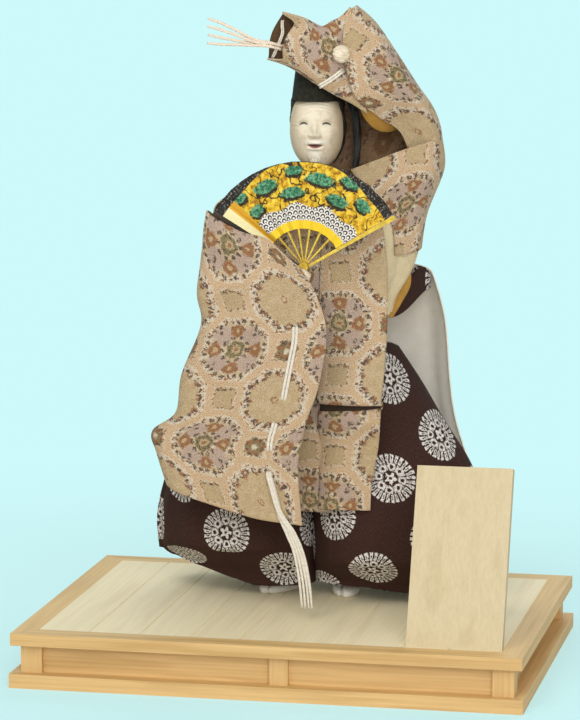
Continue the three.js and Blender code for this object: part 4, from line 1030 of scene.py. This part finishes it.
def back_panel(u, v):
    z_back, z_end, x, left, right, y, deep, full = along(BACK_PANEL, v)
    turn = math.radians((2 * u - 1) * PANEL_REACH)

    def boxy(value):
        return math.copysign(abs(value) ** BACK_PANEL_BOXINESS, value)

    swell = 1 + 0.02 * v * math.cos(15 * turn)
    flare = lerp(1.1, 1.0, smooth(0.0, 0.4, v)) + 0.045 * smooth(0.42, 0.65, v)
    across = boxy(math.sin(turn)) * (left if turn < 0 else right) * swell * flare
    z = lerp(z_back, z_end, abs(math.degrees(turn) / full) ** 4)
    return (x + across, y + boxy(math.cos(turn)) * deep * swell, z)


def inside_panel(point, clearance):
    """Keeps a point of the padded legs or body in front of the stiff back."""
    x, y, z = point
    share = clamp((PANEL_TOP - z) / (PANEL_TOP - PANEL_FOOT))
    _, _, middle, left, right, front, deep, _ = along(BACK_PANEL, share)
    dx, dy = x - middle, y - front
    if dy <= 0:
        return point
    power = 2 / BACK_PANEL_BOXINESS
    wide = (left if dx < 0 else right) - clearance
    size = ((abs(dx) / wide) ** power + (dy / (deep - clearance)) ** power) ** (1 / power)
    scale = 1 / size if size > 1 else 1.0
    return (middle + dx * scale, front + dy * scale, z)


def band_surface(u, v):
    """Along the top of the stiff back, then forward on both sides as a strap."""
    way = abs(2 * u - 1)
    hand = 1 if u > 0.5 else -1
    x, y, z = back_panel(0.5 + 0.5 * hand * min(way / STRAP_SHARE, 1.0), 0.0)
    _, _, middle, _, _, front, _, _ = BACK_PANEL[0]
    inward = Vector((middle - x, front - y, 0)).normalized() * BAND_INWARD
    x, y = x + inward.x, y + inward.y
    forward = clamp((way - STRAP_SHARE) / (1 - STRAP_SHARE))
    end_x, end_y = STRAP_ENDS[hand]
    swing = STRAP_SWING * hand * math.sin(math.pi * forward)
    rise = STRAP_RISE * math.sin(math.pi * forward) * (1 - forward) * (1 - v)
    drop = STRAP_DROP * smooth(0.0, 0.8, forward) + BAND_WIDTH * v - rise
    return (lerp(x, end_x, forward) + swing, lerp(y, end_y, forward), z - drop)


cloth_piece("hakama_back", "hakama_back_panel", [CREST, LINING, LINING], back_panel, (130, 60), "stretched",
            ["waistband", "torso"], slot="crest_cloth", flip=True, shift=(0, 20))
cloth_piece("hakama_waistband", "waistband", [CREST] * 3, band_surface, (120, 8), "stretched",
            ["hakama_back"], slot="crest_cloth", thickness=BAND_THICKNESS, flip=True, shift=(6, 3))

PLEATS = 17
PLEAT_RISE = 0.85
PLEAT_DROP = 0.15
LEG_BELLY = 0.8
LEG_TURN_UNDER = 0.955
LEG_SPREAD = 2.6
LEG_CLEARANCE = 1.6


def knife_pleat(turn):
    """A pleat that rises slowly and drops at once, from 0 to 1."""
    share = (turn * PLEATS / TURN) % 1.0
    return share if share < PLEAT_RISE else (1 - share) * PLEAT_RISE / PLEAT_DROP


def leg_surface(stations, outward, hem, seed):
    """Top to belly follows the stations; below that the cloth draws in to a crisp hem and turns under it.
    Hem: reach to the left, right, front and back, and the height of its outer and its inner end."""
    hem_left, hem_right, hem_front, hem_rear, hem_outer, hem_inner = hem

    def surface(u, v):
        z, x, y, left, right, front, rear = along(stations, clamp(1 - v / LEG_BELLY))
        angle = TURN * u
        sin, cos = -math.sin(angle), math.cos(angle)
        outer = clamp(outward * sin)
        draw = smooth(LEG_BELLY - 0.06, LEG_TURN_UNDER, v)
        left, right = lerp(left + LEG_SPREAD, hem_left, draw), lerp(right + LEG_SPREAD, hem_right, draw)
        front, rear = lerp(front, hem_front, draw), lerp(rear, hem_rear, draw)
        hem_z = lerp(hem_inner, hem_outer, outer)
        under = smooth(LEG_TURN_UNDER, 1.0, v)
        z = lerp(z, hem_z, clamp((v - LEG_BELLY) / (LEG_TURN_UNDER - LEG_BELLY))) + 5 * under
        pleat = 0.045 * (knife_pleat(angle) - 0.5) * smooth(0.05, 0.6, v) * (0.35 + 0.65 * outer)
        shrink = smooth(0.0, 0.02, v) * (1 - under) + 0.001
        dx = sin * (right if sin > 0 else left) * (1 + pleat) * shrink
        dy = cos * (rear if cos > 0 else front) * (1 + pleat) * shrink
        bulge = 1.8 * creases(x + dx + dy, z, seed, 34.0) * shrink
        return inside_panel((x + dx + bulge * sin, y + dy + bulge * cos, z), LEG_CLEARANCE)
    return surface


LEGS = (
    ("hakama_right_leg", RIGHT_LEG, -1, (75, 41, 21, 34, 31, 8.5), 11.0, (14, -6), 0.0),
    ("hakama_left_leg", LEFT_LEG, 1, (40, 66, 24, 32, 4, 11.5), 12.0, (64, 16), math.radians(10)),
)
for node, stations, outward, hem, seed, shift, turn in LEGS:
    surface = leg_surface(stations, outward, hem, seed)
    mesh = grid_mesh(f"{node}_cloth", surface, 200, 120, wrap=True, anchor=(0.5, 0.7), shift=shift, turn=turn)
    leg = finish_piece(f"{node}_cloth", mesh, "stand", [CREST])
    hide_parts(node)


# Sleeves folded along one edge and open along the other; u runs rear edge, fold, front edge.
# Rows: the fold and the front edge, each across and up, the middle and half depth, and the rear edge
RAISED_SLEEVE = [
    [91, 309, 78, 312, -14, 12, 8, 12, 282], [96.5, 333, 70, 339, -16, 13, 8, 12, 304],
    [92, 354, 53, 352.5, -20, 15, 8, 12, 328], [80, 374, 40, 366, -28, 17, 16, 11, 350],
    [66.5, 396, 33, 390, -34, 15, 28, 2, 378], [51.5, 417, 31, 410, -34, 11, 33, -16, 406],
    [38, 428.5, 33, 425, -32, 5, 33, -27, 425],
]
# The upper sleeve's tube: centre and radius. The thrown cuff: low and high edge, middle and half depth
UPPER_SLEEVE = [[-40, -20, 288, 11], [-44.5, -40, 287, 10], [-48, -62.8, 284, 9.8]]
THROWN_SLEEVE = [
    [-24, 391, -13, 424, -40, 9], [-8, 386, 3, 420, -42, 9], [12, 374, 15, 414.5, -42, 8],
    [26, 366, 22, 418, -40, 6], [36, 361, 28, 421, -39, 4], [47, 354, 35, 428, -38, 3],
]
REAR_SHORT = 13


def sleeve_surface(rows, sag, wave, fold, seed, pulled=0.0, rear_drop=0.0, front_rise=0.0):
    def surface(u, v):
        fold_x, fold_z, open_x, open_z, middle, half, rear_x, rear_y, rear_z = along(rows, v)
        across = abs(2 * u - 1) ** FOLD_CROWDING
        front = u > 0.5
        roundness = math.sqrt(1 - (1 - min(across / FOLD_SHARE, 1)) ** 2)
        rolling = wave * across * (1 - across) * (1 + math.sin(9 * across + 4 * v))
        x = lerp(fold_x, open_x if front else rear_x, across)
        z = lerp(fold_z, open_z if front else rear_z, across) - sag * 4 * across * (1 - across) * v ** 3
        crease = fold * (creases(x + 0.5 * z, z, seed) + 0.8 * creases(x, z, seed + 1, 60.0)) * roundness
        if front:
            span = math.hypot(x - RIGHT_HAND[0], z - RIGHT_HAND[2])
            bearing = math.atan2(z - RIGHT_HAND[2], x - RIGHT_HAND[0])
            pull = pulled * math.sin(11 * bearing) * smooth(8, 60, span) * smooth(190, 90, span)
            z += front_rise * hill(across, 0.66, 0.2) * smooth(0.2, 0.0, v)
            return (x, middle - half * roundness + rolling + crease + pull * (1 - across), z)
        z -= rear_drop * smooth(0.14, 0.0, v) * min(4 * across, 1.0)
        return (x, lerp(middle + half * roundness, rear_y, across) - abs(crease), z)
    return surface


def sleeve_u(across):
    """Where a share of the way from the fold to the front edge lies along u."""
    return 0.5 + 0.5 * across ** (1 / FOLD_CROWDING)


SLEEVE_REAR = SLEEVE_Y + SLEEVE_HALF
right_rows = [row + [SLEEVE_Y, SLEEVE_HALF, row[2] - REAR_SHORT, SLEEVE_REAR, row[3]] for row in RIGHT_SLEEVE]
right_surface = sleeve_surface(right_rows, 5, 2.4, 2.4, 21.0, 2.2, 8.0, 6.5)
raised_surface = sleeve_surface(RAISED_SLEEVE, 0, 1.6, 1.3, 25.0)


def right_upper(u, v):
    x, y, z, radius = along(UPPER_SLEEVE, v)
    turn = TURN * u
    ripple = radius * (1 + 0.05 * math.sin(5 * turn + 3 * v) * math.sin(math.pi * v))
    return (x + ripple * math.cos(turn), y, z + ripple * math.sin(turn))


def turned_lining(u, v):
    x, y, z = raised_surface(sleeve_u(0.97), lerp(0.2, 0.47, u))
    hang = math.sin(math.pi * u) ** 0.5
    return (x - 2 - 3 * v * hang, y + 2 + 9 * v, z + 2 - 12 * v * hang)


def left_drape(u, v):
    turn = TURN * u
    front = max(-math.sin(turn), 0.0)
    share = v + 0.17 * smooth(0.15, 0.75, front) * (1 - v)
    low_x, low_z, high_x, high_z, middle, half = along(THROWN_SLEEVE, share)
    lift = (1 - math.cos(turn)) / 2
    bow = 4.5 * math.sin(math.pi * lift) * smooth(0.3, 0.0, v)
    x, z = lerp(low_x, high_x, lift) - bow, lerp(low_z, high_z, lift)
    pucker = creases(x, z, 31.0, 16.0) * smooth(1.0, 0.6, v)
    return (x, middle + half * math.sin(turn) * (1 + 0.08 * math.sin(3 * turn)) + pucker, z)


cloth_piece("sleeve_right_hanging", "sleeve_right", ROBE_CLOTHS, right_surface, (130, 110), "hung",
            ["arm_wire_right"], anchor=(0.75, 0.5), turn=math.radians(-2), shift=(6.8, 35.1))
cloth_piece("sleeve_right_top", "sleeve_right_upper", [BROCADE, BROCADE_REVERSE_SHADED], right_upper, (40, 20),
            "hung", ["arm_wire_right"], wrap=True, flip=True, shift=(30, 5))
cloth_piece("sleeve_left_raised", "sleeve_left_arm", ROBE_CLOTHS, raised_surface, (100, 80), "draped",
            ["arm_wire_left"], anchor=(0.7, 0.3), turn=math.radians(-30), shift=(26.4, 29.3))
cloth_piece("sleeve_left_lining", None, [GILT_LINING] * 2, turned_lining, (40, 16), "folded",
            ["sleeve_left_raised"])
# The cuff is lined with the brocade's painted-shade copy
cloth_piece("sleeve_left_cuff", "sleeve_left_drape", [BROCADE, BROCADE_SHADED, EDGE], left_drape, (80, 60),
            "draped", ["hand_left"], wrap=True, flip=True, anchor=(0.75, 0.5), turn=math.radians(-20),
            shift=(7.4, 68.4))

# Flat double cords stitched through the sleeves; their ends go into the cloth
STITCH_STEPS = 28
STITCH_DIP = 3.4
# Stitches on the hanging sleeve: how far from the fold to the front edge, and how far down
HANGING_STITCHES = {
    "sleeve_stitch_upper": [(0.764, 0.25), (0.76, 0.31), (0.759, 0.367), (0.77, 0.44), (0.784, 0.506)],
    "sleeve_stitch_lower": [(0.771, 0.571), (0.778, 0.61), (0.785, 0.65), (0.795, 0.69), (0.803, 0.733)],
}
RAISED_STITCHES = {
    "sleeve_stitch_raised": (
        [(15, -51.5, 373), (20, -50.5, 376), (26, -49, 380), (32, -46.5, 385)], 0.9, CORD),
    "sleeve_stitch_inner": (
        [(-14, -40, 418), (-13, -40, 410), (-15, -42, 403), (-18, -42, 396), (-21, -41, 390)], 0.6, CORD),
    "sleeve_tail_root": (
        [(-12, -42, 399), (-16, -45.5, 400.5), (-20, -48, 401.7), (-24, -48.2, 402.3)], 1.2, TAIL_CORD),
}


def sewn_cord(name, points, radius, material):
    """Two strands side by side over the given surface points, nearest the viewer in the middle of the run."""
    line = smooth_path(points, STITCH_STEPS)
    for side_number, aside in ((1, -radius), (2, radius)):
        route = []
        for k, point in enumerate(line):
            share = k / STITCH_STEPS
            dip = smooth(0.14, 0.0, share) + smooth(0.86, 1.0, share)
            ahead = (line[min(k + 1, STITCH_STEPS)] - line[max(k - 1, 0)]).normalized()
            across = ahead.cross(Vector((0, 1, 0))).normalized()
            back = (radius + STITCH_DIP) * dip - radius * 0.8
            route.append(spot(point + across * aside + Vector((0, back, 0))))
        strand = f"{name}_{side_number}"
        finish_piece(strand, rope_mesh(strand, route, radius * MM), "stand", [material])


for name, places in HANGING_STITCHES.items():
    sewn_cord(name, [right_surface(sleeve_u(across), v) for across, v in places], STRAND_RADIUS, CORD)
for name, stitch in RAISED_STITCHES.items():
    sewn_cord(name, *stitch)


# Body under the robe
TORSO_SHARE = 0.96
TORSO_BEHIND_STRIP = 7
TORSO_BEFORE_BACK = 3.5
TORSO_CLEARANCE = 5.0


def torso_surface(u, v):
    z, x, y, left, right, front, rear = along(TORSO, 1 - v)
    turn = TURN * u
    sin, cos = -math.sin(turn), math.cos(turn)
    shrink = smooth(0.0, 0.015, v) * smooth(1.0, 0.985, v)
    px = x + sin * (right if sin > 0 else left) * TORSO_SHARE * shrink
    py = y + cos * (rear if cos > 0 else front) * TORSO_SHARE * shrink
    py = max(py, robe_depth(z) + STRIP_BACK + TORSO_BEHIND_STRIP)
    back_top, back_foot = ROBE_BACK[0][0], ROBE_BACK[-1][0]
    if z > back_foot:
        share = clamp((back_top - z) / (back_top - back_foot))
        _, middle, edge, back_left, back_right = along(ROBE_BACK, share)
        across = clamp((px - back_left) / (back_right - back_left))
        py = min(py, lerp(middle, edge, (2 * across - 1) ** 2) - TORSO_BEFORE_BACK)
    return inside_panel((px, py, z), TORSO_CLEARANCE)


torso_mesh = grid_mesh("torso_padding", torso_surface, 64, 40, wrap=True)
torso = finish_piece("torso_padding", torso_mesh, "stand", [STRAW])
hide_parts("torso")


# The cream under-robe shows where the brocade robe is open down the doll's right side
def under_robe_right(u, v):
    down = lerp(0.04, 0.965, v)
    px, py, pz = torso_surface(lerp(0.03, 0.47, u), down)
    _, middle_x, middle_y = along(TORSO, 1 - down)[:3]
    pleat = math.sin(27 * u + 2 * v) * smooth(0.05, 0.4, v)
    away = Vector((px - middle_x, py - middle_y, 0)).normalized() * (1.6 + pleat)
    return (px + away.x, py + away.y, pz)


cloth_piece("under_robe_right", None, [UNDER_ROBE] * 2, under_robe_right, (80, 40), "hung", ["torso_padding"],
            slot="white_cloth")

# Under-collar: two folded white bands that cross at the throat
COLLARS = (("collar_outer", "collar", 12.4, 10.5), ("collar_inner", None, 10.6, 11.5))


def collar_surface(radius, height):
    def surface(u, v):
        turn = TURN * u
        front = max(-math.cos(turn), 0.0) ** 3
        reach = radius - 3 * (1 - v) + 1.5 * front
        z = TORSO[-1][0] + lerp(height - 5 * front, 0.3, v)
        return (HEAD[0] - reach * math.sin(turn), HEAD[1] + reach * math.cos(turn), z)
    return surface


for name, node, radius, height in COLLARS:
    cloth_piece(name, node, [COTTON] * 2, collar_surface(radius, height), (48, 8), "folded",
                ["torso_padding"], slot="white_cloth", wrap=True, anchor=(0.0, 0.0))

# Feet in white split-toe socks: rows have the share of the full width and of the toe, from the sole up
FOOT_ROWS = [[0.92, 0.95], [1, 1], [0.95, 0.9], [0.8, 0.55]]
FOOT_Y = 7
FOOT_HALF_WIDTH = 10.5
FOOT_TOE = 22
FOOT_HEEL = 24
FOOT_HEIGHT = 9
FEET = (("foot_right", -24, math.radians(-28), 1), ("foot_left", 24.5, math.radians(6.7), -1))


def foot_surface(x, turn, inner_side):
    sin_turn, cos_turn = math.sin(turn), math.cos(turn)

    def surface(u, v):
        wide, toe = along(FOOT_ROWS, 1 - v)
        angle = TURN * u
        sin, cos = -math.sin(angle), math.cos(angle)
        shrink = smooth(0.0, 0.1, v) * smooth(1.0, 0.96, v)
        dx = sin * FOOT_HALF_WIDTH * wide * shrink
        dy = cos * (FOOT_HEEL * wide if cos > 0 else FOOT_TOE * toe) * shrink
        cleft = hill(dx, 2.6 * inner_side, 0.9) * smooth(-6, -12, dy)
        dy += 4.5 * cleft
        z = FOOT_HEIGHT * (1 - v) - 2.6 * cleft * (1 - v)
        return (x + dx * cos_turn - dy * sin_turn, FOOT_Y + dx * sin_turn + dy * cos_turn, z)
    return surface


for name, x, turn, inner_side in FEET:
    mesh = grid_mesh(f"sock_{name}", foot_surface(x, turn, inner_side), 72, 20, wrap=True)
    sock = finish_piece(f"sock_{name}", mesh, "stand", [COTTON])
    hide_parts(name)


# Hands: small carved fists; the fan's rivet stands in a slot of the right one
RIVET_SLOT = 3.3
SLOT_FLOOR = 2.0
HANDS = (("hand_right", RIGHT_HAND, True), ("hand_left", LEFT_HAND, False))


def fist_surface(centre, slotted):
    def surface(u, v):
        angle, lift = TURN * u, math.pi * (0.5 - v)
        sin, cos = -math.sin(angle), math.cos(angle)
        tilt = math.sin(lift) + 0.35 * sin * math.cos(lift)
        knuckles = 0.16 * abs(math.sin(math.pi * 2.0 * tilt)) ** 0.5 * smooth(0.1, 0.5, -cos)
        lumps = 0.075 * math.sin(3 * angle + 2 * lift) + 0.03 * math.sin(7 * lift - 5 * angle)
        reach = HAND_RADIUS * math.cos(lift) * (0.87 + knuckles + lumps)
        y = reach * cos
        z = HAND_RADIUS * math.sin(lift) * 0.98
        if slotted and abs(y) < RIVET_SLOT:
            z = min(z, SLOT_FLOOR)
        return (centre[0] + reach * sin, centre[1] + y, centre[2] + z)
    return surface


for name, centre, slotted in HANDS:
    mesh = grid_mesh(f"fist_{name}", fist_surface(centre, slotted), 48, 36, wrap=True)
    fist = finish_piece(f"fist_{name}", mesh, "stand", [IVORY])
    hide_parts(name)


# Head: mask, hair, hat and the cord that ties the mask on
FACE_TURN = 6.0
SEAT_GAP = 0.3
MASK_SIDE = 82
MASK_TOP = 66
MASK_FOOT = -65
MASK_THICKNESS = 2.2
HAIR_FOOT = -56
HAIR_THICKNESS = 3.0
BROW_FULLNESS = 0.46
JAW_FULLNESS = 0.9


def head_point(swing, rise, stand_off):
    """A place on the head in doll millimetres; swing and rise in degrees from straight ahead."""
    swing, rise = math.radians(swing), math.radians(rise)
    level = math.cos(rise) ** (BROW_FULLNESS if rise > 0 else JAW_FULLNESS)
    return (HEAD[0] + (HEAD_HALF[0] + stand_off) * level * math.sin(swing),
            HEAD[1] - (HEAD_HALF[1] + stand_off) * level * math.cos(swing),
            HEAD[2] + (HEAD_HALF[2] + stand_off) * math.sin(rise))


def mask_relief(swing, rise):
    """Height of the carved face over the plain mask, in millimetres; swing from the middle of the face."""
    aside = abs(swing)
    nose = 3.2 * hill(swing, 0, 6.5) * smooth(24, -1, rise) * smooth(-10, -2.5, rise)
    nose += 1.3 * hill(aside, 8.5, 4.5) * hill(rise, -4, 4)
    brow = 0.7 * hill(rise, 25, 6) * hill(aside, 24, 16)
    sockets = -1.0 * hill(rise, 14, 5) * hill(aside, 26, 11)
    lids = 0.5 * hill(rise, 17.5, 2.2) * hill(aside, 27, 10)
    cheeks = 1.3 * hill(aside, 31, 11) * hill(rise, -3, 10)
    fold_line = aside - lerp(11, 24, clamp((-4 - rise) / 24))
    folds = -0.7 * hill(fold_line, 0, 2.6) * smooth(-2, -8, rise) * smooth(-34, -26, rise)
    lips = 0.8 * (hill(rise, -15.5, 2.6) + hill(rise, -25.5, 2.6)) * hill(aside, 0, 13)
    mouth = -1.5 * hill(rise, -20.5, 2.2) * smooth(21, 13, aside)
    chin = 1.2 * hill(rise, -41, 8) * hill(aside, 0, 15) - 0.5 * hill(rise, -30, 3) * hill(aside, 0, 12)
    furrow = math.sin((rise + 0.004 * aside ** 2) * 0.95)
    wrinkles = 0.1 * furrow * smooth(28, 33, rise) * smooth(60, 45, aside)
    crow = 0.25 * math.sin((rise - 13) * 0.9 + 0.05 * aside) * hill(aside, 47, 7) * hill(rise, 12, 10)
    return nose + brow + sockets + lids + cheeks + folds + lips + mouth + chin + wrinkles + crow


def mask_angles(u, v):
    return lerp(-MASK_SIDE, MASK_SIDE, u), lerp(MASK_TOP, MASK_FOOT, v)


def mask_surface(u, v):
    swing, rise = mask_angles(u, v)
    relief = mask_relief(swing - FACE_TURN, rise) * smooth(MASK_SIDE, 70, abs(swing))
    return head_point(swing, rise, SEAT_GAP + MASK_THICKNESS + relief)


def mask_plane(u, v):
    swing, rise = mask_angles(u, v)
    return swing - FACE_TURN, rise


def head_piece(name, node, material, mesh, thickness=0.0):
    piece = finish_piece(name, mesh, "head", [material])
    if thickness:
        thicken(piece, thickness, -1)
    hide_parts(node)


mask_mesh = grid_mesh("old_man_mask", mask_surface, 150, 130, plane=mask_plane)
head_piece("old_man_mask", "mask", MASK_PAINT, mask_mesh, 1.6)


def hair_surface(u, v):
    rise = lerp(MASK_TOP, HAIR_FOOT, v)
    start = 74 + 12 * smooth(40, 20, rise) + 30 * smooth(24, -10, rise)
    swing = lerp(start, 360 - start, u)
    strands = 0.35 * math.sin(swing * 1.7 + 1.5 * math.sin(rise * 0.12)) * smooth(0.0, 0.15, v)
    side = max(hill(swing, 100, 22), hill(swing, 260, 22))
    lock = (1.6 * smooth(0.25, 0.7, v) + 3.2 * hill(rise, 50, 14)) * side
    return head_point(swing, rise, SEAT_GAP + HAIR_THICKNESS - 0.4 + strands + lock)


head_piece("combed_hair", "hair", HAIR, grid_mesh("combed_hair", hair_surface, 150, 30), 2.2)

# A dark twisted strand, in the black hair's material, hangs from under the hat beside the face
DARK_STRAND = [(24, -3, 366), (29, -3, 358), (32.5, -3, 345), (33.5, -4, 328), (32, -5, 309)]
DARK_STRAND_RADIUS = 3.0
strand_route = [spot(point) for point in smooth_path(DARK_STRAND, 30)]
strand_twist = {"plies": 4, "pitch": 14.0, "depth": 0.3, "taper": 0.35}
strand_mesh = rope_mesh("dark_strand", strand_route, DARK_STRAND_RADIUS * MM, 18, **strand_twist)
finish_piece("dark_strand", strand_mesh, "head", [HAIR])


def hat_surface(u, v):
    above, wide, deep, back = along(HAT, 1 - v)
    turn = TURN * u
    front = max(-math.cos(turn), 0.0)
    ridge = 0.05 * math.cos(2 * turn) * math.sin(math.pi * (1 - v))
    dent = 0.1 * hill(front, 1.0, 0.12) * smooth(0.75, 0.3, v)
    shrink = smooth(0.0, 0.05, v) * (1 + ridge - dent)
    brim = 2.2 * smooth(0.9, 1.0, v)
    return (HEAD[0] - wide * shrink * math.sin(turn), HEAD[1] + back + deep * shrink * math.cos(turn),
            HEAD[2] + above + brim)


head_piece("gauze_hat", "hat", GAUZE, grid_mesh("gauze_hat", hat_surface, 90, 60, wrap=True), 1.0)


# A white tuft of beard under the mask's mouth
BEARD_HAIRS = 40
BEARD_RADIUS = 0.36


def beard_mesh():
    """Tapered hairs rooted on the chin, in one mesh."""
    points, faces = [], []
    for k in range(BEARD_HAIRS):
        aside = 30 * (0.618 * k % 1.0) - 15
        root = Vector(head_point(FACE_TURN + aside, -36 - 16 * (0.371 * k % 1.0), 2.6))
        drop = 11 - 0.5 * abs(aside) + 3 * math.sin(2.9 * k)
        tip = root + Vector((-0.1 * aside, 0.5 + math.sin(5.3 * k), -drop))
        middle = (root + tip) / 2 + Vector((0.04 * aside, -1.2, 0))
        route = [spot(point) for point in smooth_path([root, middle, tip], 8)]
        hair = rope_mesh("hair", route, BEARD_RADIUS * MM, 6, taper=0.9)
        start = len(points)
        points.extend(vertex.co.copy() for vertex in hair.vertices)
        faces.extend([start + index for index in face.vertices] for face in hair.polygons)
        bpy.data.meshes.remove(hair)
    mesh = bpy.data.meshes.new("beard")
    mesh.from_pydata(points, [], faces)
    mesh.update()
    return mesh


finish_piece("beard", beard_mesh(), "head", [WHITE_HAIR])
TIE_LEVEL = 8
TIE_RADIUS = 0.8
TIE_STEPS = 60
tie_off = HAIR_THICKNESS + 2 * SEAT_GAP + TIE_RADIUS
tie = [spot(head_point(lerp(120, 240, k / TIE_STEPS), TIE_LEVEL, tie_off)) for k in range(TIE_STEPS + 1)]
head_piece("mask_tie", "mask_cord", CORD, rope_mesh("mask_tie", tie, TIE_RADIUS * MM))


# CAD pieces whose shape is already right get their materials and softened edges
def dress(node, material, edge=0.35):
    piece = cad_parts[node]
    for holder in piece.material_slots:
        holder.material = material
    if edge:
        bevel = piece.modifiers.new("edges", "BEVEL")
        bevel.width = edge * MM
        bevel.segments = 2
        bevel.limit_method = "ANGLE"


for rail in ("plinth", "frame", "panel"):
    for place, grain in (("front", 0), ("back", 0), ("left", 1), ("right", 1)):
        dress(f"{rail}_{place}", PINE[grain])
for place in ("front_left", "front_right", "back_left", "back_right"):
    dress(f"post_{place}", PINE[2])
dress("muntin_front", PINE[2])
for place in ("front", "back"):
    dress(f"batten_{place}", PINE[0])
dress("deck_board", DECK_WOOD, 0.2)
for node in ("plaque_board", "plaque_foot"):
    dress(node, PLAQUE_WOOD)
for node in ("leg_rod_left", "leg_rod_right", "arm_wire_left", "arm_wire_right"):
    dress(node, STEEL, 0.0)
dress("head", IVORY, 0.0)
dress("fan_leaf", FAN_PAPER, 0.0)
dress("fan_guard_left", DARK_LACQUER, 0.15)
for node in ("fan_guard_right", "fan_rivet", *(f"fan_rib_{k}" for k in range(1, 7))):
    dress(node, GOLD, 0.15)
